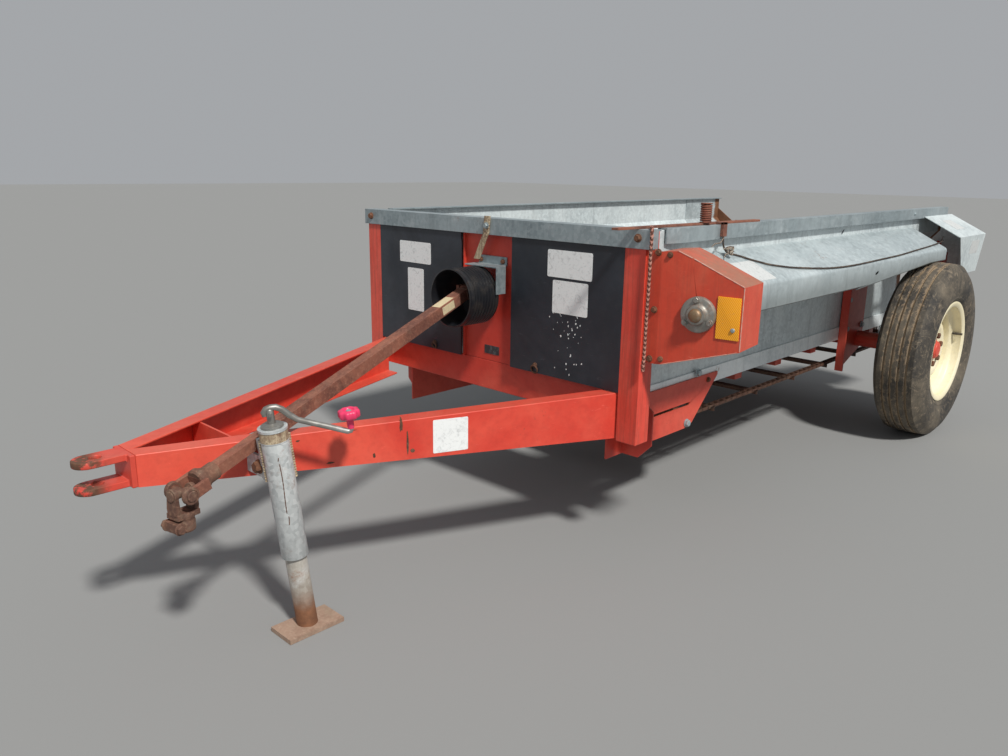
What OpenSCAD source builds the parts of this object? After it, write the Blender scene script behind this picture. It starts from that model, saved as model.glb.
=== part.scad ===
// Two-wheeled towed manure spreader: tapered A-frame tongue on a screw jack, a flared
// sheet box with a chain apron in its floor, a paddle beater at the rear, and a shielded
// driveline along the left side. Millimetres. +X points forward to the hitch, +Y to the
// left side and +Z up. The origin is on the ground under the middle of the whole machine.
// Inside the modules X is counted from the front face of the front posts.

/* [Box] */
// Length of the box from the front posts to its rear edge
bed_length = 2440; // [2300:10:3000]
// Width over the front corner posts
post_span = 1196; // [1120:2:1400]
// Width over the upright lower walls
lower_span = 880; // [860:2:980]
// Height of the top of the rim above the ground
rim_top = 949; // [930:1:1050]
// Leg length of the front rim's angle
rim_leg = 51; // [40:1:60]
// Leg length of the side rails' angle
side_rail_leg = 42; // [36:1:50]
// Distance from the posts back to the bend at the side rails' front ends
side_rail_back = 140; // [120:5:200]
// Thickness of the rim and side rail angles
rim_t = 5; // [3:0.5:8]
// How far the rim stands out beyond each post
rim_proud = 14.5; // [8:0.5:20]
// Thickness of the side and front sheets
wall_t = 3; // [2:0.5:5]
// Height where the upright upper wall ends and the flare starts
flare_top = 840; // [800:5:860]
// Height where the flare ends and the upright lower wall starts
flare_bottom = 660; // [600:5:680]
// Height of the top of the floor
floor_top = 413; // [408:1:425]
// Thickness of the floor
floor_t = 10; // [6:1:12]
// Height of the lower edge of the sill angles
sill_bottom = 388; // [380:1:396]
// Height of the sill angle's leg
sill_leg = 56; // [45:1:64]
// Thickness of the sill angle
sill_t = 5; // [3:0.5:8]
// Depth of the cross members under the floor
member_depth = 42; // [30:1:50]
// Width of the cross members under the floor
member_width = 50; // [40:1:60]
// Length of the thick rear side plates beside the beater
rear_plate_length = 340; // [300:5:400]
// Thickness of the rear side plates
rear_plate_t = 6; // [4:0.5:8]

/* [Front] */
// Width of a post's front face
post_face = 66; // [50:1:90]
// Depth of a post's side leg
post_depth = 60; // [50:1:90]
// Thickness of the posts, cross member and centre plate
post_t = 6; // [4:0.5:8]
// Height of the lower end of the posts
post_bottom = 353; // [330:1:380]
// Height of the front cross member
cross_height = 97; // [80:1:110]
// Depth of the cross member's flanges
cross_depth = 45; // [35:1:60]
// How far the cross member and centre plate sit behind the posts' front face
front_setback = 22; // [15:1:30]
// Width of the red centre plate
centre_width = 226; // [200:2:260]
// Thickness of the dark front panels
panel_t = 6; // [4:0.5:10]
// Height of the lower edge of the plates behind the front corners
corner_plate_bottom = 258; // [240:1:300]
// Distance from the posts back to the rear tip of those plates
corner_plate_back = 696; // [660:1:740]

/* [Tongue] */
// Distance from the front posts to the front end of the rails
rail_reach = 1141; // [1080:1:1300]
// Distance from the rails' front end to the tip of the hitch
hitch_reach = 119; // [105:1:160]
// Height of the rails' top edge at the posts
rail_top_rear = 492; // [470:1:510]
// Depth of a rail at the posts
rail_rear_depth = 135; // [110:1:150]
// Height of the rails' top edge at the hitch
rail_top_front = 469; // [450:1:480]
// Depth of a rail at the hitch
rail_front_depth = 78; // [70:1:100]
// Width of the rail flanges
rail_flange = 50; // [35:1:60]
// Thickness of the rail sheet
rail_t = 6; // [4:0.5:8]
// Half of the distance over the two rails at their front end
hitch_half = 48; // [44:1:60]
// Thickness of each hitch strap
strap_t = 16; // [10:1:18]
// Width of the hitch straps
strap_width = 64; // [56:1:80]
// Radius of the hitch pin hole
hitch_pin_r = 13.5; // [10:0.5:16]
// Distance from the hitch pin hole to the tip of the straps
hitch_pin_back = 50; // [40:1:60]
// Distance from the posts to the plate that ties the rails together
gusset_reach = 925; // [850:5:980]

/* [Wheels] */
// Outer radius of the tyres
tyre_r = 369; // [340:1:385]
// Width of the tyres
tyre_width = 203; // [180:1:220]
// Outer radius of the rim flanges
wheel_rim_r = 213; // [200:1:220]
// Width over the rim flanges
wheel_rim_width = 178; // [150:1:180]
// Distance between the middles of the two tyres
track = 1495; // [1480:1:1600]
// Distance from the front posts back to the axle
axle_back = 1939; // [1880:1:2000]
// Side of the square axle tube
axle_side = 60; // [50:1:64]
// Outer radius of the round axle tubes beside the wheels
axle_tube_r = 35; // [30:1:38]
// Radius of the wheel spindles
spindle_r = 20; // [16:1:24]
// Radius of the wheel hubs
hub_r = 40; // [34:1:46]
// Length of the axle brackets
bracket_length = 247; // [200:1:280]
// Height of the lower end of the axle brackets
bracket_bottom = 250; // [230:5:280]

/* [Apron] */
// Distance from the posts back to the front apron shaft
apron_front_back = 450; // [400:1:500]
// Distance from the rear edge forward to the rear apron shaft
apron_rear_inset = 150; // [120:1:200]
// Radius of the chain loop around its shafts, at the middle of the chain
apron_loop_r = 79; // [70:1:84]
// Thickness of the chain
chain_t = 14; // [10:1:16]
// Width of the chain
chain_width = 26; // [20:1:32]
// Distance between the two chains
chain_gauge = 750; // [700:5:800]
// Height of the slats that cross the apron
slat_height = 26; // [15:1:28]
// Distance between slats
slat_pitch = 330; // [250:5:400]
// Radius of the apron shafts
apron_shaft_r = 16; // [12:1:20]

/* [Beater] */
// Distance from the rear edge forward to the beater shaft
beater_inset = 110; // [100:1:140]
// Height of the beater shaft
beater_height = 668; // [660:1:680]
// Radius at the tips of the paddles
beater_r = 170; // [150:1:175]
// Radius of the beater's tube
beater_tube_r = 45; // [38:1:55]
// Radius of the beater's shaft
beater_shaft_r = 20; // [16:1:24]
// Number of paddle pairs along the beater
paddle_pairs = 7; // [4:1:8]
// Thickness of a paddle
paddle_t = 8; // [5:1:10]
// Width of a paddle
paddle_width = 70; // [50:1:90]

/* [Driveline] */
// Height where the shield meets the wall
shield_top = 870; // [862:1:878]
// Reach of the shield beyond the posts
shield_reach = 147; // [130:1:160]
// Drop of the shield from the wall to its nose
shield_drop = 80; // [70:1:90]
// Depth of the upright nose of the shield
shield_nose = 84; // [70:1:90]
// Radius of the bend between the shield's slope and its nose
shield_bend_r = 16; // [10:1:20]
// Thickness of the shield
shield_t = 3; // [2:0.5:4]
// Distance from the posts back to the rear end of the shield
shield_rear_back = 2040; // [1950:5:2100]
// Radius of the driveline shaft
drive_shaft_r = 12.7; // [10:0.1:16]
// Sweep of the front guard's plate, in degrees
guard_sweep = 8; // [5:1:12]
// Depth of the front guard's flanges
guard_depth = 136; // [110:1:140]
// Thickness of the front guard
guard_t = 3; // [2:0.5:5]
// Length of the rear hood
hood_length = 380; // [340:5:400]
// How far the rear hood stands out behind the box
hood_overhang = 60; // [40:5:80]
// Reach of the rear hood beyond the posts
hood_reach = 172; // [160:1:190]
// Radius of the flanged bearing on the front guard
bearing_r = 47; // [40:1:52]

/* [Power shaft] */
// Height of the input shaft above the ground
input_height = 730; // [700:1:760]
// Outer radius of the plastic bell
bell_r = 90; // [84:1:96]
// Drop of the bell's middle below the input shaft
bell_drop = 17; // [10:1:22]
// Length of the plastic bell
bell_length = 125; // [110:1:140]
// Thickness of the plastic bell
bell_t = 5; // [4:0.5:8]
// Side of the square outer tube of the power shaft
shaft_side = 34; // [30:1:38]
// Side of the square inner bar of the power shaft
shaft_inner_side = 27; // [22:1:28]
// Distance along the shaft from beside the jack to the shaft's front joint
shaft_past_jack = 213; // [195:1:260]
// Distance along the shaft from beside the jack back to the end of the outer tube
outer_end_back = 30; // [10:1:60]
// Sideways swing of the resting shaft towards the left, in degrees
shaft_swing = 11.9; // [11:0.1:12.5]
// Radius of the yoke's bore
yoke_bore_r = 17.5; // [15:0.1:20]

/* [Jack] */
// Distance from the posts to the jack's foot
jack_reach = 846; // [820:1:880]
// Distance of the jack from the middle of the machine
jack_side = 245; // [240:1:270]
// Lean of the jack, in degrees
jack_lean = 7; // [0:1:8]
// Outer radius of the jack's outer tube
jack_r = 31.75; // [28:0.25:35]
// Radius of the jack's inner leg
jack_leg_r = 25.4; // [22:0.2:28]
// Distance from the ground to the outer tube's lower end, along the jack
jack_leg_shown = 205; // [150:1:240]
// Distance from the ground to the outer tube's upper end, along the jack
jack_top = 535; // [515:1:560]
// Length of the foot plate
foot_length = 150; // [120:1:180]
// Width of the foot plate
foot_width = 84; // [70:1:140]
// Thickness of the foot plate
foot_t = 8; // [5:1:12]
// Reach of the jack's crank
crank_reach = 172; // [140:1:190]

/* [Lever] */
// Reach of the control lever in front of the posts
lever_front = 90; // [60:5:120]
// Distance from the posts back to the lever's rear end
lever_back = 593; // [500:1:650]
// Distance from the posts back to the lever's spring
spring_back = 300; // [280:1:330]

/* [Hidden] */
$fn = 48;

// Gap between faces that rest on each other
seat = 0.3;
// Radial clearance of a running fit
running = 0.06;
// Overlap that fuses solids of one piece, and overshoot of cuts
fuse = 2;
// Clearance around pieces that turn
turn_gap = 6;

red = [0.80, 0.16, 0.10];
galvanised = [0.66, 0.70, 0.72];
rust = [0.36, 0.20, 0.13];
black = [0.07, 0.08, 0.09];
cream = [0.90, 0.86, 0.68];

// The front posts stand this far in front of the middle of the whole machine
hitch_tip = rail_reach + hitch_reach;
post_x = (bed_length + hood_overhang - hitch_tip) / 2;

post_y = post_span / 2;
post_inner_y = post_y - post_face;
rim_y = post_y + rim_proud;
angle_bottom = rim_top - rim_leg;
side_rail_bottom = rim_top - side_rail_leg;
under_rim = rim_top - rim_t - seat;
upper_y = post_y - post_t - seat;
lower_y = lower_span / 2;
centre_back = front_setback + post_t;
// Rear face of the front cross member, where the frame's long pieces start
frame_start_x = -front_setback - cross_depth - seat;
wall_front_x = -centre_back - seat - wall_t;
sill_top = sill_bottom + sill_leg;
floor_bottom = floor_top - floor_t;
wall_bottom = sill_bottom + sill_t + seat;
rear_plate_x = -bed_length + rear_plate_length;
// The flare's outward run for each millimetre of height
flare_run = (upper_y - lower_y) / (flare_top - flare_bottom);

axle_z = tyre_r;
wheel_y = track / 2;

apron_front_x = -apron_front_back;
apron_rear_x = -bed_length + apron_rear_inset;
apron_top_z = floor_top + seat + chain_t / 2;
apron_z = apron_top_z - apron_loop_r;

sprocket_t = 18;

beater_x = -bed_length + beater_inset;

shield_slope = shield_drop / shield_reach;
shield_nose_y = post_y + shield_reach;

jack_lean_x = sin(jack_lean);

// The front guard's plate: its front face at the fold, and how far the fold is beside the post
guard_front_x = -post_t;
guard_fold = 46;
// The bearing's place on the guard's plate: sideways from the fold, and height
guard_bearing = [113, input_height + 14];
bearing_stub = 18;
// The closed gear case behind the guard's plate, along the plate's normal
guard_case_start = bearing_stub + seat;
guard_case_end = 92;

// Line of the driveline shaft: front end in the guard's gear case, rear end at the gearbox
drive_front = [guard_front_x - guard_case_end, post_y + 102, input_height + 8];
drive_rear = [-bed_length + 180, post_y + 12, beater_height + 28];

// Everything is placed from the front face of the posts
module at_posts() {
    translate([post_x, 0, 0])
        children();
}

module mirrored_copy() {
    children();
    mirror([0, 1, 0])
        children();
}

// A solid from an outline in the X-Z plane, from y_low to y_high
module side_plate(y_low, y_high, outline) {
    translate([0, y_high, 0])
        rotate([90, 0, 0])
            linear_extrude(y_high - y_low)
                polygon(outline);
}

// A solid from an outline in the Y-Z plane, from x_rear to x_front
module cross_section(x_rear, x_front, outline) {
    translate([x_rear, 0, 0])
        rotate([90, 0, 90])
            linear_extrude(x_front - x_rear)
                polygon(outline);
}

// A box given by its two corners
module block(low, high) {
    translate(low)
        cube(high - low);
}

// A cylinder from one point to another
module rod(from, to, r) {
    d = to - from;
    span = norm(d);
    translate(from)
        rotate([0, acos(d[2] / span), atan2(d[1], d[0])])
            cylinder(r = r, h = span);
}

// Tongue

rail_rear_y = post_inner_y - seat;
rail_start_x = -front_setback + seat;
rail_angle = atan2(rail_rear_y - hitch_half, rail_reach - rail_start_x);
rail_length = norm([rail_rear_y - hitch_half, rail_reach - rail_start_x]);

// Outline of a rail's web, drawn longer than the rail and inset by a sheet thickness
function rail_outline(inset, extra) =
    let (
        rise = (rail_top_front - rail_top_rear) / rail_length,
        low_rise = rise + (rail_rear_depth - rail_front_depth) / rail_length,
        low = rail_top_rear - rail_rear_depth + inset,
        high = rail_top_rear - inset
    )
    [
        [-extra, low - extra * low_rise],
        [rail_length + extra, low + (rail_length + extra) * low_rise],
        [rail_length + extra, high + (rail_length + extra) * rise],
        [-extra, high - extra * rise]
    ];

module tongue_rail() {
    extra = rail_flange;
    intersection() {
        translate([rail_start_x, rail_rear_y, 0])
            rotate([0, 0, -rail_angle])
                difference() {
                    side_plate(-rail_flange, 0, rail_outline(0, extra));
                    side_plate(-rail_flange - fuse, -rail_t, rail_outline(rail_t, extra + fuse));
                }
        block([rail_start_x, seat / 2, 0], [rail_reach, post_inner_y - seat, rim_top]);
    }
}

// Height of the rails' top and bottom edges at a distance from the posts
function rail_share(x) = (x - rail_start_x) / (rail_reach - rail_start_x);
function rail_top_at(x) = rail_top_rear + rail_share(x) * (rail_top_front - rail_top_rear);
function rail_bottom_at(x) =
    rail_top_at(x) - rail_rear_depth + rail_share(x) * (rail_rear_depth - rail_front_depth);
function rail_y_at(x) = rail_rear_y - rail_share(x) * (rail_rear_y - hitch_half);

// Upright plate between the webs of the two rails
module tongue_gusset() {
    half = rail_y_at(gusset_reach) - rail_t / cos(rail_angle) - 2 * seat;
    color(red)
        at_posts()
            block(
                [gusset_reach - rail_t, -half, rail_bottom_at(gusset_reach - rail_t) + rail_t + 2 * seat],
                [gusset_reach, half, rail_top_at(gusset_reach) - rail_t - 2 * seat]
            );
}

module tongue_rail_left() {
    color(red)
        at_posts()
            tongue_rail();
}

module tongue_rail_right() {
    color(red)
        at_posts()
            mirror([0, 1, 0])
                tongue_rail();
}

module hitch_clevis() {
    low = rail_top_front - rail_front_depth;
    end_plate = 12;
    back = rail_reach + seat;
    round_x = hitch_tip - strap_width / 2;
    color(red)
        at_posts()
            difference() {
                union() {
                    block([back, -hitch_half, low], [back + end_plate, hitch_half, rail_top_front]);
                    for (z = [low, rail_top_front - strap_t]) {
                        block(
                            [back, -strap_width / 2, z],
                            [round_x, strap_width / 2, z + strap_t]
                        );
                        translate([round_x, 0, z])
                            cylinder(r = strap_width / 2, h = strap_t);
                    }
                }
                translate([hitch_tip - hitch_pin_back, 0, low - fuse])
                    cylinder(r = hitch_pin_r, h = rail_front_depth + 2 * fuse);
            }
}

// Front

module front_cross_member() {
    half = post_inner_y - seat;
    color(red)
        at_posts()
            difference() {
                block(
                    [-front_setback - cross_depth, -half, rail_top_rear - cross_height],
                    [-front_setback, half, rail_top_rear]
                );
                block(
                    [-front_setback - cross_depth - fuse, -half - fuse,
                     rail_top_rear - cross_height + post_t],
                    [-front_setback - post_t, half + fuse, rail_top_rear - post_t]
                );
            }
}

module corner_posts() {
    color(red)
        at_posts()
            mirrored_copy()
                difference() {
                    block([-post_depth, post_inner_y, post_bottom], [0, post_y, under_rim]);
                    block(
                        [-post_depth - fuse, post_inner_y - fuse, post_bottom - fuse],
                        [-post_t, post_y - post_t, under_rim + fuse]
                    );
                }
}

module front_rim() {
    front = seat + rim_t;
    return_length = 40;
    color(galvanised)
        at_posts() {
            difference() {
                block([front - rim_leg, -rim_y, angle_bottom], [front, rim_y, rim_top]);
                block(
                    [front - rim_leg - fuse, -rim_y - fuse, angle_bottom - fuse],
                    [seat, rim_y + fuse, rim_top - rim_t]
                );
            }
            mirrored_copy()
                block(
                    [front - return_length, rim_y - rim_t, angle_bottom],
                    [seat + fuse, rim_y, rim_top - fuse]
                );
        }
}

module front_panels() {
    color(black)
        at_posts()
            mirrored_copy()
                block(
                    [-panel_t, centre_width / 2, rail_top_rear + fuse],
                    [0, post_inner_y - seat, angle_bottom - seat]
                );
}

module centre_plate() {
    half = centre_width / 2 - seat;
    flange = front_setback - 4;
    color(red)
        at_posts()
            difference() {
                block([-centre_back, -half, rail_top_rear + seat], [-centre_back + flange, half, under_rim]);
                block(
                    [-front_setback, -half + post_t, rail_top_rear],
                    [fuse, half - post_t, under_rim + fuse]
                );
                translate([-centre_back - fuse, 0, input_height])
                    rotate([0, 90, 0])
                        cylinder(r = input_stub_r + turn_gap, h = post_t + 2 * fuse);
            }
}

// Half outline of the box section, from the top down, shifted inward by a distance
function wall_line(inward) = [
    [upper_y - inward, under_rim],
    [upper_y - inward, flare_top],
    [lower_y - inward, flare_bottom],
    [lower_y - inward, wall_bottom]
];

function reversed(list) = [for (i = [len(list) - 1:-1:0]) list[i]];

// A side sheet, with a square hole where the axle passes
module wall_sheet(x_rear, x_front, t) {
    difference() {
        cross_section(x_rear, x_front, concat(wall_line(0), reversed(wall_line(t))));
        axle_hole();
    }
}

module axle_hole() {
    hole = axle_side / 2 + 1;
    block(
        [-axle_back - hole, lower_y - sill_leg, axle_z - hole],
        [-axle_back + hole, lower_y + sill_leg, axle_z + hole]
    );
}

module front_wall() {
    line = [for (p = wall_line(0)) if (p[1] > rail_top_rear) p];
    foot = [[lower_y, rail_top_rear + seat]];
    half = concat(line, foot);
    other = [for (p = reversed(half)) [-p[0], p[1]]];
    color(galvanised)
        at_posts()
            cross_section(wall_front_x, wall_front_x + wall_t, concat(half, other));
}

// Sides

module side_walls() {
    color(galvanised)
        at_posts()
            mirrored_copy()
                difference() {
                    wall_sheet(rear_plate_x + seat, wall_front_x - seat, wall_t);
                    block([frame_start_x, 0, 0], [0, post_span, rail_top_rear + seat]);
                }
}

// Angle along the top of a side; its front end bends in behind the post
module side_rail() {
    bend = -side_rail_back;
    front = bend + 50;
    bend_in = 11;
    inner = rim_y - side_rail_leg;
    translate([0, 0, rim_top - rim_t])
        linear_extrude(rim_t)
            polygon([
                [-bed_length, inner],
                [-bed_length, rim_y],
                [bend, rim_y],
                [front, rim_y - bend_in],
                [front, inner]
            ]);
    translate([0, 0, side_rail_bottom])
        linear_extrude(side_rail_leg - fuse)
            polygon([
                [-bed_length, rim_y - rim_t],
                [-bed_length, rim_y],
                [bend, rim_y],
                [front, rim_y - bend_in],
                [front, rim_y - bend_in - rim_t],
                [bend, rim_y - rim_t]
            ]);
}

module side_rails() {
    color(galvanised)
        at_posts()
            mirrored_copy()
                side_rail();
}

module beater_hole() {
    translate([beater_x, 0, beater_height])
        rotate([-90, 0, 0])
            cylinder(r = beater_shaft_r + turn_gap, h = post_span);
}

// Thick side plate with a gusset across its rear corner and a hanger for the apron's shaft
module rear_side() {
    hanger_half = 40;
    gusset_reach_in = 120;
    difference() {
        union() {
            wall_sheet(-bed_length, rear_plate_x, rear_plate_t);
            block(
                [apron_rear_x - hanger_half, lower_y - rear_plate_t, apron_z - hanger_half],
                [apron_rear_x + hanger_half, lower_y, wall_bottom + fuse]
            );
            cross_section(-bed_length, -bed_length + rear_plate_t, [
                [upper_y - fuse, side_rail_bottom - 12],
                [upper_y - gusset_reach_in, flare_top - 30],
                [flare_y(flare_top - 160) - rear_plate_t, flare_top - 160],
                [flare_y(flare_top - 160), flare_top - 160],
                [upper_y - fuse, flare_top]
            ]);
        }
        beater_hole();
        translate([apron_rear_x, 0, apron_z])
            rotate([-90, 0, 0])
                cylinder(r = apron_shaft_r + running, h = post_span);
    }
}

// Thick plates beside the beater; the right one carries the beater's outer bearing
module rear_sides() {
    bearing_length = 34;
    at_beater_height = lower_y + (beater_height - flare_bottom) * flare_run;
    color(rust)
        at_posts() {
            rear_side();
            mirror([0, 1, 0]) {
                rear_side();
                translate([beater_x, at_beater_height - fuse, beater_height])
                    rotate([-90, 0, 0])
                        difference() {
                            cylinder(r = bearing_r, h = bearing_length);
                            translate([0, 0, -fuse])
                                cylinder(r = beater_shaft_r + running, h = bearing_length + 2 * fuse);
                        }
            }
        }
}

// Floor and frame

// Where the floor's front piece starts, in front of the apron's front turn
floor_front_x = apron_front_x + apron_loop_r + chain_t + 10;

// Flat floor, notched round the sprockets at both ends, and a front piece before the apron
module floor() {
    half = lower_y - rear_plate_t - seat;
    notch_half = max(sprocket_t, chain_width) / 2 + 3;
    notch_reach = apron_loop_r - 13;
    color(rust)
        at_posts()
            difference() {
                union() {
                    block(
                        [apron_rear_x - 20, -half, floor_bottom],
                        [apron_front_x + 20, half, floor_top]
                    );
                    block([floor_front_x, -half, floor_bottom], [frame_start_x, half, floor_top]);
                }
                for (side = [-1, 1])
                    for (x = [apron_front_x, apron_rear_x])
                        block(
                            [x - notch_reach, side * chain_gauge / 2 - notch_half, floor_bottom - fuse],
                            [x + notch_reach, side * chain_gauge / 2 + notch_half, floor_top + fuse]
                        );
            }
}

module floor_cross_members() {
    count = 6;
    first = apron_front_x - apron_loop_r - chain_t - 20;
    last = apron_rear_x + apron_loop_r + chain_t + 40;
    half = lower_y - rear_plate_t - seat;
    high = floor_bottom - seat;
    places = concat(
        [(floor_front_x + frame_start_x) / 2],
        [for (i = [0:count - 1]) first + i * (last - first) / (count - 1)]
    );
    color(red)
        at_posts()
            for (x = places)
                block(
                    [x - member_width / 2, -half, high - member_depth],
                    [x + member_width / 2, half, high]
                );
}

// Angles under the walls: an upright leg outside and a short lip under the sheet
module sills() {
    outer = lower_y + seat + sill_t;
    inner = lower_y - rear_plate_t;
    front = frame_start_x;
    hanger_half = 41;
    color(galvanised)
        at_posts()
            mirrored_copy()
                difference() {
                    block([-bed_length, inner, sill_bottom], [front, outer, sill_top]);
                    block(
                        [-bed_length - fuse, inner - fuse, sill_bottom + sill_t],
                        [front + fuse, outer - sill_t, sill_top + fuse]
                    );
                    axle_hole();
                    // Room for the hanger of the apron's rear shaft
                    block(
                        [apron_rear_x - hanger_half, inner - fuse, sill_bottom - fuse],
                        [apron_rear_x + hanger_half, lower_y + seat / 2, sill_bottom + sill_t + fuse]
                    );
                }
}

// Red plates behind the front corners, with a slot for the front apron shaft's take-up bolt
module front_brackets() {
    inner = lower_y + 2 * seat + sill_t;
    plate_t = 6;
    low = corner_plate_bottom;
    high = sill_bottom + 37;
    tip = -corner_plate_back;
    slot_half = 5;
    slot_rear = apron_front_x - 72;
    slot_front = apron_front_x + 143;
    tie_x = -140;
    tie_reach = 114;
    color(red)
        at_posts()
            mirrored_copy() {
                difference() {
                    side_plate(inner, inner + plate_t, [
                        [frame_start_x, low],
                        [frame_start_x, high],
                        [tip, high],
                        [tip, high - 12],
                        [tip + 149, low + 12],
                        [tip + 196, low]
                    ]);
                    for (x = [slot_rear, slot_front])
                        translate([x, inner - fuse, apron_z])
                            rotate([-90, 0, 0])
                                cylinder(r = slot_half, h = plate_t + 2 * fuse);
                    block(
                        [slot_rear, inner - fuse, apron_z - slot_half],
                        [slot_front, inner + plate_t + fuse, apron_z + slot_half]
                    );
                }
                // Upright tie plate across the machine
                cross_section(tie_x - plate_t, tie_x, [
                    [inner + plate_t - fuse, low + 4],
                    [inner + plate_t - fuse, high],
                    [inner + 24, high + 26],
                    [inner + tie_reach - 45, high + 26],
                    [inner + tie_reach, high - 13],
                    [inner + tie_reach, low + 50],
                    [inner + tie_reach - 45, low + 4]
                ]);
            }
}

// Apron

module chain_loop(y) {
    outer = apron_loop_r + chain_t / 2;
    inner = apron_loop_r - chain_t / 2;
    translate([0, y + chain_width / 2, apron_z])
        rotate([90, 0, 0])
            linear_extrude(chain_width)
                difference() {
                    union() {
                        for (x = [apron_front_x, apron_rear_x])
                            translate([x, 0])
                                circle(r = outer);
                        translate([apron_rear_x, -outer])
                            square([apron_front_x - apron_rear_x, 2 * outer]);
                    }
                    for (x = [apron_front_x, apron_rear_x])
                        translate([x, 0])
                            circle(r = inner);
                    translate([apron_rear_x, -inner])
                        square([apron_front_x - apron_rear_x, 2 * inner]);
                }
}

module slats() {
    half = (chain_gauge + chain_width) / 2;
    leg_t = 5;
    leg = 30;
    count = floor((apron_front_x - apron_rear_x) / slat_pitch);
    for (i = [0:count]) {
        x = apron_front_x - i * slat_pitch;
        // The flat leg lies on the chain and the upright leg pushes the load
        block([x - leg, -half, apron_top_z], [x, half, apron_top_z + leg_t]);
        block([x - leg_t, -half, apron_top_z], [x, half, floor_top + seat + slat_height]);
        low = apron_z - apron_loop_r;
        block([x - leg, -half, low - leg_t], [x, half, low]);
        block([x - leg, -half, low - slat_height + leg_t], [x - leg + leg_t, half, low]);
    }
}

module apron_chain() {
    color(rust)
        at_posts() {
            for (side = [-1, 1])
                chain_loop(side * chain_gauge / 2);
            slats();
        }
}

module apron_shafts() {
    half = lower_y + seat + sill_t;
    sprocket_r = apron_loop_r - chain_t / 2 - seat;
    color(rust)
        at_posts()
            for (x = [apron_front_x, apron_rear_x])
                translate([x, 0, apron_z])
                    rotate([-90, 0, 0]) {
                        translate([0, 0, -half])
                            cylinder(r = apron_shaft_r, h = 2 * half);
                        for (side = [-1, 1])
                            translate([0, 0, side * chain_gauge / 2 - sprocket_t / 2])
                                cylinder(r = sprocket_r, h = sprocket_t);
                    }
}

// Axle and wheels

hub_inner_y = wheel_y - 88;
hub_outer_y = wheel_y + 52;
disc_y = wheel_y + 14;
tube_end_y = hub_inner_y - turn_gap;

bracket_t = 10;
bracket_inner_y = lower_y + 2 * seat + sill_t;

module axle() {
    spindle_end = hub_outer_y - 20;
    square_half = bracket_inner_y + bracket_t + seat;
    color(red)
        at_posts()
            translate([-axle_back, 0, axle_z]) {
                block(
                    [-axle_side / 2, -square_half - fuse, -axle_side / 2],
                    [axle_side / 2, square_half + fuse, axle_side / 2]
                );
                mirrored_copy()
                    translate([0, square_half, 0])
                        rotate([-90, 0, 0])
                            cylinder(r = axle_tube_r, h = tube_end_y - square_half);
                rotate([-90, 0, 0])
                    translate([0, 0, -spindle_end])
                        cylinder(r = spindle_r, h = 2 * spindle_end);
            }
}

module axle_brackets() {
    inner = bracket_inner_y;
    outer = inner + bracket_t;
    rear = -axle_back - 46;
    front = rear + bracket_length;
    high = flare_bottom - 40;
    rear_rise = 80;
    flange_reach = 24;
    hole = axle_side / 2 + seat;
    color(red)
        at_posts()
            mirrored_copy() {
                difference() {
                    side_plate(inner, outer, [
                        [rear, bracket_bottom + rear_rise],
                        [front - 30, bracket_bottom],
                        [front, bracket_bottom],
                        [front, high],
                        [rear, high]
                    ]);
                    block(
                        [-axle_back - hole, inner - fuse, axle_z - hole],
                        [-axle_back + hole, outer + fuse, axle_z + hole]
                    );
                }
                // Flange that faces forward
                block([front - bracket_t, outer - fuse, bracket_bottom], [front, outer + flange_reach, high]);
            }
}

module tyre() {
    half = tyre_width / 2;
    bead = wheel_rim_r - 18;
    bead_half = wheel_rim_width / 2 - 8.3;
    rotate([-90, 0, 0])
        rotate_extrude($fn = 72)
            polygon([
                [bead, -bead_half],
                [wheel_rim_r + 1, -bead_half - 3.5],
                [wheel_rim_r + 8, -half + 10],
                [wheel_rim_r + 50, -half],
                [tyre_r - 60, -half + 2],
                [tyre_r - 20, -half + 18],
                [tyre_r - 4, -half + 32],
                [tyre_r, 0],
                [tyre_r - 4, half - 32],
                [tyre_r - 20, half - 18],
                [tyre_r - 60, half - 2],
                [wheel_rim_r + 50, half],
                [wheel_rim_r + 8, half - 10],
                [wheel_rim_r + 1, bead_half + 3.5],
                [bead, bead_half]
            ]);
}

// Drop-centre rim and its dished disc; positive is outboard
module wheel_rim() {
    half = wheel_rim_width / 2;
    sheet = 4;
    seat_r = wheel_rim_r - 18 - seat;
    well_r = seat_r - 26;
    bolt_face = disc_y - wheel_y + 18;
    rotate([-90, 0, 0])
        rotate_extrude($fn = 72) {
            polygon([
                [wheel_rim_r, -half],
                [wheel_rim_r, -half + sheet],
                [seat_r, -half + 7],
                [seat_r, -half + 36],
                [well_r, -half + 48],
                [well_r, half - 48],
                [seat_r, half - 36],
                [seat_r, half - 7],
                [wheel_rim_r, half - sheet],
                [wheel_rim_r, half],
                [seat_r - sheet, half],
                [seat_r - sheet, half - 34],
                [well_r - sheet, half - 46],
                [well_r - sheet, -half + 46],
                [seat_r - sheet, -half + 34],
                [seat_r - sheet, -half]
            ]);
            polygon([
                [well_r - sheet + 1, bolt_face - 34],
                [well_r - sheet + 1, bolt_face - 28],
                [120, bolt_face + 2],
                [95, bolt_face + 5],
                [80, bolt_face],
                [hub_r + seat, bolt_face],
                [hub_r + seat, bolt_face - 6],
                [82, bolt_face - 6],
                [97, bolt_face - 1],
                [118, bolt_face - 4]
            ]);
        }
}

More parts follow.
